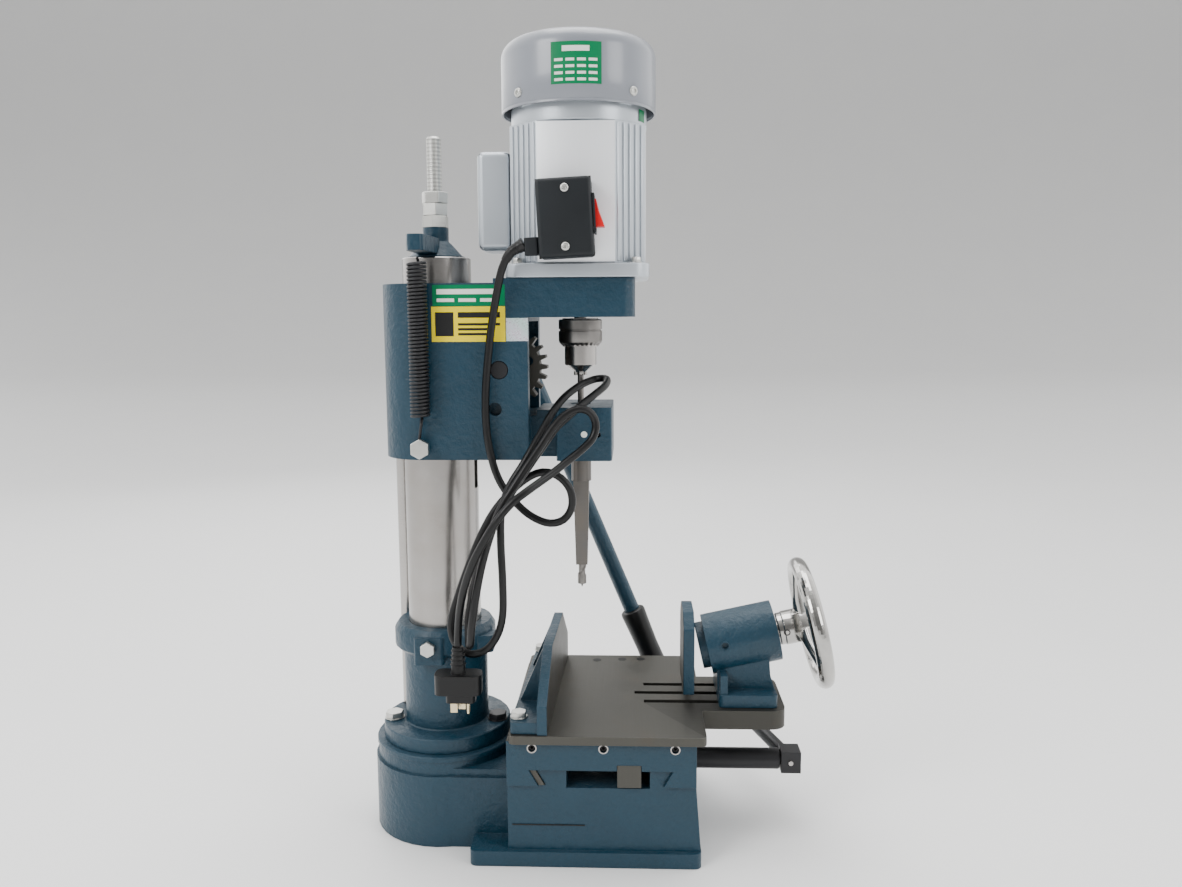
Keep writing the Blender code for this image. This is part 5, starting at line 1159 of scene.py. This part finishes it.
class MORTISER_OT_switch(bpy.types.Operator):
    """Switch box with its lid seam and screws, the framed rocker and the cord's relief"""
    bl_idname = "mortiser.switch"
    bl_label = "Switch"

    def execute(self, context):
        low, high = (Vector(corner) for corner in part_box("switch_box"))
        tilt = (Matrix.Translation((low + high) / 2) @ Matrix.Rotation(SWITCH_TILT, 4, 'Y'))
        case = block("switch_case", (-23.75 * MM, 23.75 * MM), (-14 * MM, 14 * MM),
                     (-33.25 * MM, 33.25 * MM),
                     3.6 * MM, 5)
        place(case, tilt)
        done(case, "plastic", "head", "switch_box")
        refine("plastic", "head", ("rocker_frame", "strain_relief"), 0.4 * MM)
        refine("rocker", "rocker", ("rocker_button",), 0.9 * MM, 3)
        face = low.y - 0.05 * MM
        for number, spot in enumerate(((126.8, 601.5), (127.4, 553))):
            screw(f"lid_screw_{number + 1}", (spot[0] * MM, face, spot[1] * MM), (0, -1, 0),
                  3.6 * MM,
                  1.9 * MM, "head", slot="spring_bolt")
        seam = block("lid_seam", (-23.9 * MM, 23.9 * MM), (-8.6 * MM, -7.9 * MM),
                     (-33.4 * MM, 33.4 * MM), 0.25 * MM)
        place(seam, tilt)
        done(seam, "rubber", "head", slot="switch_box")
        bar = block("rocker_mark_on", (9.35 * MM, 9.6 * MM), (-2.6 * MM, 2.6 * MM),
                    (-0.55 * MM, 0.55 * MM), 0.05 * MM)
        place(bar, Matrix.Translation((141.9 * MM, -76 * MM, 573.5 * MM))
              @ Matrix.Rotation(SWITCH_TILT, 4, 'Y')
              @ Matrix.Translation((8.1 * MM, 0, 0)) @ Matrix.Rotation(math.radians(-17), 4, 'Y')
              @ Matrix.Translation((-7.9 * MM, 0, 0)))
        done(bar, "white_print_and_light", "rocker", slot="rocker_button")
        return {'FINISHED'}


# ---------------------------------------------------------------- vise

class MORTISER_OT_vise(bpy.types.Operator):
    """Vise screw and the chromed handwheel"""
    bl_idname = "mortiser.vise"
    bl_label = "Vise screw and wheel"

    def execute(self, context):
        refine("bright_steel", "handwheel", ("vise_screw",), 0.5 * MM)
        way = Vector((math.cos(VISE_LEAN), 0, math.sin(VISE_LEAN)))
        end = Vector((323 * MM, 0, 191 * MM))
        matrix = along(end, end + way)
        rim_r = 8 * MM
        wheel_r = 56 * MM
        rim_at = 34.5 * MM
        deselect()
        bpy.ops.mesh.primitive_torus_add(major_radius=wheel_r, minor_radius=rim_r,
                                         major_segments=96,
                                         minor_segments=24, location=(0, 0, rim_at))
        rim = named("rim")
        bpy.ops.object.transform_apply(location=True, rotation=True, scale=True)
        parts = [rim]
        hub = spun("hub", [(8.3 * MM, 2 * MM), (14.5 * MM, 2 * MM), (15.6 * MM, 3 * MM),
                           (15.6 * MM, 7 * MM),
                           (16.4 * MM, 8 * MM), (16.4 * MM, 24 * MM), (15.6 * MM, 26 * MM),
                           (15.2 * MM, 33 * MM),
                           (13.6 * MM, 35.4 * MM), (11 * MM, 36.4 * MM), (8.3 * MM, 36.4 * MM),
                           (8.3 * MM, 2 * MM)], None, 64)
        parts.append(hub)
        for number in range(sizes().wheel_spokes):
            angle = 2 * math.pi * number / sizes().wheel_spokes + math.radians(90)
            out = Vector((math.cos(angle), math.sin(angle), 0))
            points = []
            for step in range(9):
                part = step / 8
                sag = -4.5 * MM * math.sin(part * math.pi) * 0.4
                points.append(out * (12 * MM + (wheel_r - 12 * MM) * part)
                              + Vector((0, 0, 27 * MM + 5.5 * MM * part + sag)))
            spoke = spoke_between(f"spoke_{number}", points)
            parts.append(spoke)
        wheel = joined("chromed_wheel", *parts)
        place(wheel, matrix)
        done(wheel, "chrome", "handwheel", "handwheel")
        screw_face = spun("wheel_nut", [(0, 44 * MM), (3.2 * MM, 44 * MM), (5.6 * MM, 42 * MM),
                                        (6.4 * MM, 40 * MM),
                                        (6.4 * MM, 36.6 * MM), (10 * MM, 36.6 * MM),
                                        (10 * MM, 36.2 * MM),
                                        (0, 36.2 * MM)], matrix, 40)
        done(screw_face, "zinc", "handwheel", slot="spring_bolt")
        lock = Vector((332 * MM, -16.1 * MM, 193.2 * MM))
        done(spun("hub_set_screw", [(0, -0.4 * MM), (1.7 * MM, -0.4 * MM), (1.9 * MM, 0.3 * MM),
                                    (2.9 * MM, 0.35 * MM),
                                    (3.3 * MM, -0.2 * MM), (3.3 * MM, -1.5 * MM), (0, -1.5 * MM)],
                  along(lock, lock + Vector((0, -1, 0))), 28), "oxide", "handwheel",
             slot="traverse_lever")
        oiler = Vector((271.5 * MM, -29 * MM, 183.5 * MM))
        done(spun("oil_hole_rim", ring_profile(3.5 * MM, 4.6 * MM, -2 * MM, 0.4 * MM, 0.2 * MM),
                  along(oiler, oiler + Vector((0, -1, 0))), 28), "paint", "table", slot="vise_body")
        return {'FINISHED'}


def spoke_between(name, points):
    """A spoke that is thick at the hub and waists before it flares into the rim."""
    deselect()
    bpy.ops.mesh.primitive_circle_add(vertices=20, radius=1)
    obj = named(name)
    way = (points[1] - points[0]).normalized()
    turn = way.to_track_quat('Z', 'Y').to_matrix().to_4x4()
    widths = (9.0, 8.4, 7.6, 6.8, 6.2, 5.9, 5.9, 6.3, 7.2)
    place(obj, Matrix.Translation(points[0]) @ turn @ Matrix.Diagonal((widths[0] * MM,
                                                                       widths[0] * 0.8 * MM, 1, 1)))
    edit(obj)
    for (a, b), (w0, w1) in zip(zip(points, points[1:]), zip(widths, widths[1:])):
        bpy.ops.mesh.extrude_region_move(TRANSFORM_OT_translate={"value": tuple(b - a)})
        bpy.ops.transform.resize(value=(w1 / w0,) * 3, center_override=tuple(b))
    bpy.ops.mesh.select_all(action='DESELECT')
    bpy.ops.mesh.select_non_manifold(extend=False)
    bpy.ops.mesh.edge_face_add()
    leave()
    settle(obj)
    return obj


# ---------------------------------------------------------------- labels

def flat_label(name, x, z, ground, bars, body="head", slot="head_casting"):
    """A label on the head's face: a thin plate with printed bars given as parts of its size."""
    sheet = sizes().label_sheet
    plate = block(name, x, (HEAD_FACE - sheet, HEAD_FACE + 0.4 * MM), z, 0.08 * MM, 1)
    done(plate, ground, body, slot=slot)
    for number, (u0, u1, v0, v1, ink) in enumerate(bars):
        width = x[1] - x[0]
        height = z[1] - z[0]
        bar = block(f"{name}_bar_{number + 1}", (x[0] + u0 * width, x[0] + u1 * width),
                    (HEAD_FACE - sheet - 0.06 * MM, HEAD_FACE),
                    (z[0] + v0 * height, z[0] + v1 * height))
        done(bar, ink, body, slot=slot)


def curved_patch(name, radius, turn, sweep, low, high, material, slot):
    """A patch of a cylinder round the spindle, from an edge spun through the sweep."""
    sheet = 0.15 * MM
    profile = [(radius, low), (radius + sheet, low), (radius + sheet, high), (radius, high),
               (radius, low)]
    patch = spun(name, profile, None, 12, sweep)
    edit(patch)
    bpy.ops.mesh.select_all(action='DESELECT')
    bpy.ops.mesh.select_non_manifold(extend=False)
    bpy.ops.mesh.edge_face_add()
    leave()
    settle(patch)
    first = math.atan2(*[sum(v.co[i] for v in patch.data.vertices) for i in (1, 0)])
    place(patch, Matrix.Translation((SPINDLE_X, 0, 0))
          @ Matrix.Rotation(turn + sweep / 2 - first, 4, 'Z'))
    return done(patch, material, "head", slot=slot)


class MORTISER_OT_labels(bpy.types.Operator):
    """Blank labels with plain bars in place of any print"""
    bl_idname = "mortiser.labels"
    bl_label = "Labels"

    def execute(self, context):
        rows = [(0.06, 0.94, 0.56, 0.80, "white_print_and_light")]
        rows += [(0.06 + 0.3 * i, 0.30 + 0.3 * i, 0.20, 0.36, "white_print_and_light") for i in range(3)]
        flat_label("green_label", (7 * MM, 71.5 * MM), (503.8 * MM, 522.4 * MM), "label_green",
                   rows)
        bars = [(0.05, 0.30, 0.16, 0.84, "black_print_and_shade"), (0.36, 0.93, 0.68, 0.84, "black_print_and_shade")]
        bars += [(0.36, 0.93 - 0.08 * i, 0.46 - 0.14 * i, 0.53 - 0.14 * i,
                  "black_print_and_shade") for i in range(3)]
        flat_label("yellow_label", (5.7 * MM, 71.5 * MM), (472.3 * MM, 503.4 * MM), "label_yellow",
                   bars)
        flat_label("foil_label", (72.2 * MM, 91.6 * MM), (472.7 * MM, 493 * MM), "foil", [])
        start = math.radians(270 - 16.5)
        sweep = math.radians(35.5)
        radius = 70.45 * MM
        curved_patch("motor_label", radius, start, sweep, 689.5 * MM, 724 * MM, "label_green",
                     "fan_cover")
        curved_patch("motor_label_title", radius + 0.1 * MM, start + math.radians(8),
                     math.radians(19),
                     716 * MM, 720.5 * MM, "white_print_and_light", "fan_cover")
        for row in range(4):
            low = (692 + 5.4 * row) * MM
            for column in range(4):
                curved_patch(f"motor_label_cell_{row + 1}_{column + 1}", radius + 0.1 * MM,
                             start + math.radians(2.5 + 8.0 * column), math.radians(6.0),
                             low, low + 2.2 * MM, "white_print_and_light", "fan_cover")
        curved_patch("check_sticker", 62.2 * MM, math.radians(270 + 62), math.radians(11),
                     666 * MM, 676 * MM, "label_green", "motor_top_bell")
        return {'FINISHED'}


# ---------------------------------------------------------------- stage

class MORTISER_OT_stage(bpy.types.Operator):
    """Pale floor, soft lights and the camera"""
    bl_idname = "mortiser.stage"
    bl_label = "Stage"

    def execute(self, context):
        scene = context.scene
        camera = bpy.data.objects.new("view", bpy.data.cameras.new("view"))
        scene.collection.objects.link(camera)
        camera.data.sensor_width = 36.0
        camera.data.lens = 984.42 / 1182 * 36.0
        turn = (Matrix.Rotation(math.radians(2.38), 4, 'Z')
                @ Matrix.Rotation(math.radians(90 - 7.34), 4, 'X')
                @ Matrix.Rotation(math.radians(-0.33), 4, 'Z'))
        camera.matrix_world = Matrix.Translation((0.18322, -0.93338, 0.4938)) @ turn
        scene.camera = camera

        deselect()
        bpy.ops.mesh.primitive_plane_add(size=16, location=(0.15, -1.0, -0.0004))
        floor = named("floor")
        bpy.ops.object.transform_apply(location=True, rotation=True, scale=True)
        edit(floor)
        bpy.ops.mesh.select_all(action='DESELECT')
        leave()
        for vert in floor.data.vertices:
            vert.select = vert.co.y > 6
        bpy.ops.object.mode_set(mode='EDIT')
        for step in range(1, 13):
            turn = math.radians(7.5 * step - 3.75)
            reach = 0.42
            bpy.ops.mesh.extrude_region_move(TRANSFORM_OT_translate={
                "value": (0, reach * math.cos(turn), reach * math.sin(turn))})
        bpy.ops.mesh.extrude_region_move(TRANSFORM_OT_translate={"value": (0, 0, 6)})
        leave()
        bpy.ops.object.shade_smooth()
        floor.data.materials.append(finish("floor"))

        world = bpy.data.worlds.new("studio")
        world.use_nodes = True
        nodes = world.node_tree.nodes
        sky = nodes["Background"]
        sky.inputs[0].default_value = (1.0, 1.0, 1.0, 1.0)
        way = nodes.new('ShaderNodeTexCoord')
        parts = nodes.new('ShaderNodeSeparateXYZ')
        spread = nodes.new('ShaderNodeMapRange')
        world.node_tree.links.new(way.outputs["Generated"], parts.inputs[0])
        world.node_tree.links.new(parts.outputs["Y"], spread.inputs["Value"])
        world.node_tree.links.new(spread.outputs[0], sky.inputs[1])
        for key, value in (("From Min", -0.9), ("From Max", 0.6), ("To Min", 0.30),
                           ("To Max", 2.4)):
            spread.inputs[key].default_value = value
        scene.world = world
        lamps = (("key", (-1.5, -1.6, 1.7), (0.1, 0, 0.35), 1.1, 40.0),
                 ("fill", (2.0, -1.2, 1.2), (0.15, 0, 0.35), 0.9, 16.0),
                 ("top", (0.2, 0.2, 2.3), (0.15, 0, 0.3), 1.4, 34.0),
                 ("back", (-0.6, 1.7, 1.3), (0.1, 0, 0.4), 1.2, 12.0))
        for name, spot, target, size, power in lamps:
            lamp = bpy.data.lights.new(name, 'AREA')
            lamp.shape = 'SQUARE'
            lamp.size = size
            lamp.energy = power
            obj = bpy.data.objects.new(name, lamp)
            scene.collection.objects.link(obj)
            obj.location = spot
            obj.rotation_euler = (Vector(target) - Vector(spot)).to_track_quat('-Z', 'Y').to_euler()
        return {'FINISHED'}


PIECES = (MORTISER_OT_stage, MORTISER_OT_cord, MORTISER_OT_castings, MORTISER_OT_column,
          MORTISER_OT_bolts, MORTISER_OT_table, MORTISER_OT_feed, MORTISER_OT_traverse,
          MORTISER_OT_spindle, MORTISER_OT_motor, MORTISER_OT_switch, MORTISER_OT_vise,
          MORTISER_OT_labels)


class MORTISER_PT_panel(bpy.types.Panel):
    """Lists the mortiser's pieces"""
    bl_idname = "MORTISER_PT_panel"
    bl_label = "Bench Mortiser"
    bl_space_type = 'VIEW_3D'
    bl_region_type = 'UI'
    bl_category = "Mortiser"

    def draw(self, context):
        for piece in PIECES:
            self.layout.operator(piece.bl_idname)


CLASSES = (MortiserSizes, MortiserColours, *PIECES, MORTISER_PT_panel)


def register():
    for cls in CLASSES:
        bpy.utils.register_class(cls)
    bpy.types.Scene.mortiser_sizes = PointerProperty(type=MortiserSizes)
    bpy.types.Scene.mortiser_colours = PointerProperty(type=MortiserColours)


def unregister():
    del bpy.types.Scene.mortiser_colours
    del bpy.types.Scene.mortiser_sizes
    for cls in reversed(CLASSES):
        bpy.utils.unregister_class(cls)


def main():
    register()
    for piece in PIECES:
        family, action = piece.bl_idname.split(".")
        getattr(getattr(bpy.ops, family), action)()


if __name__ == "__main__":
    main()
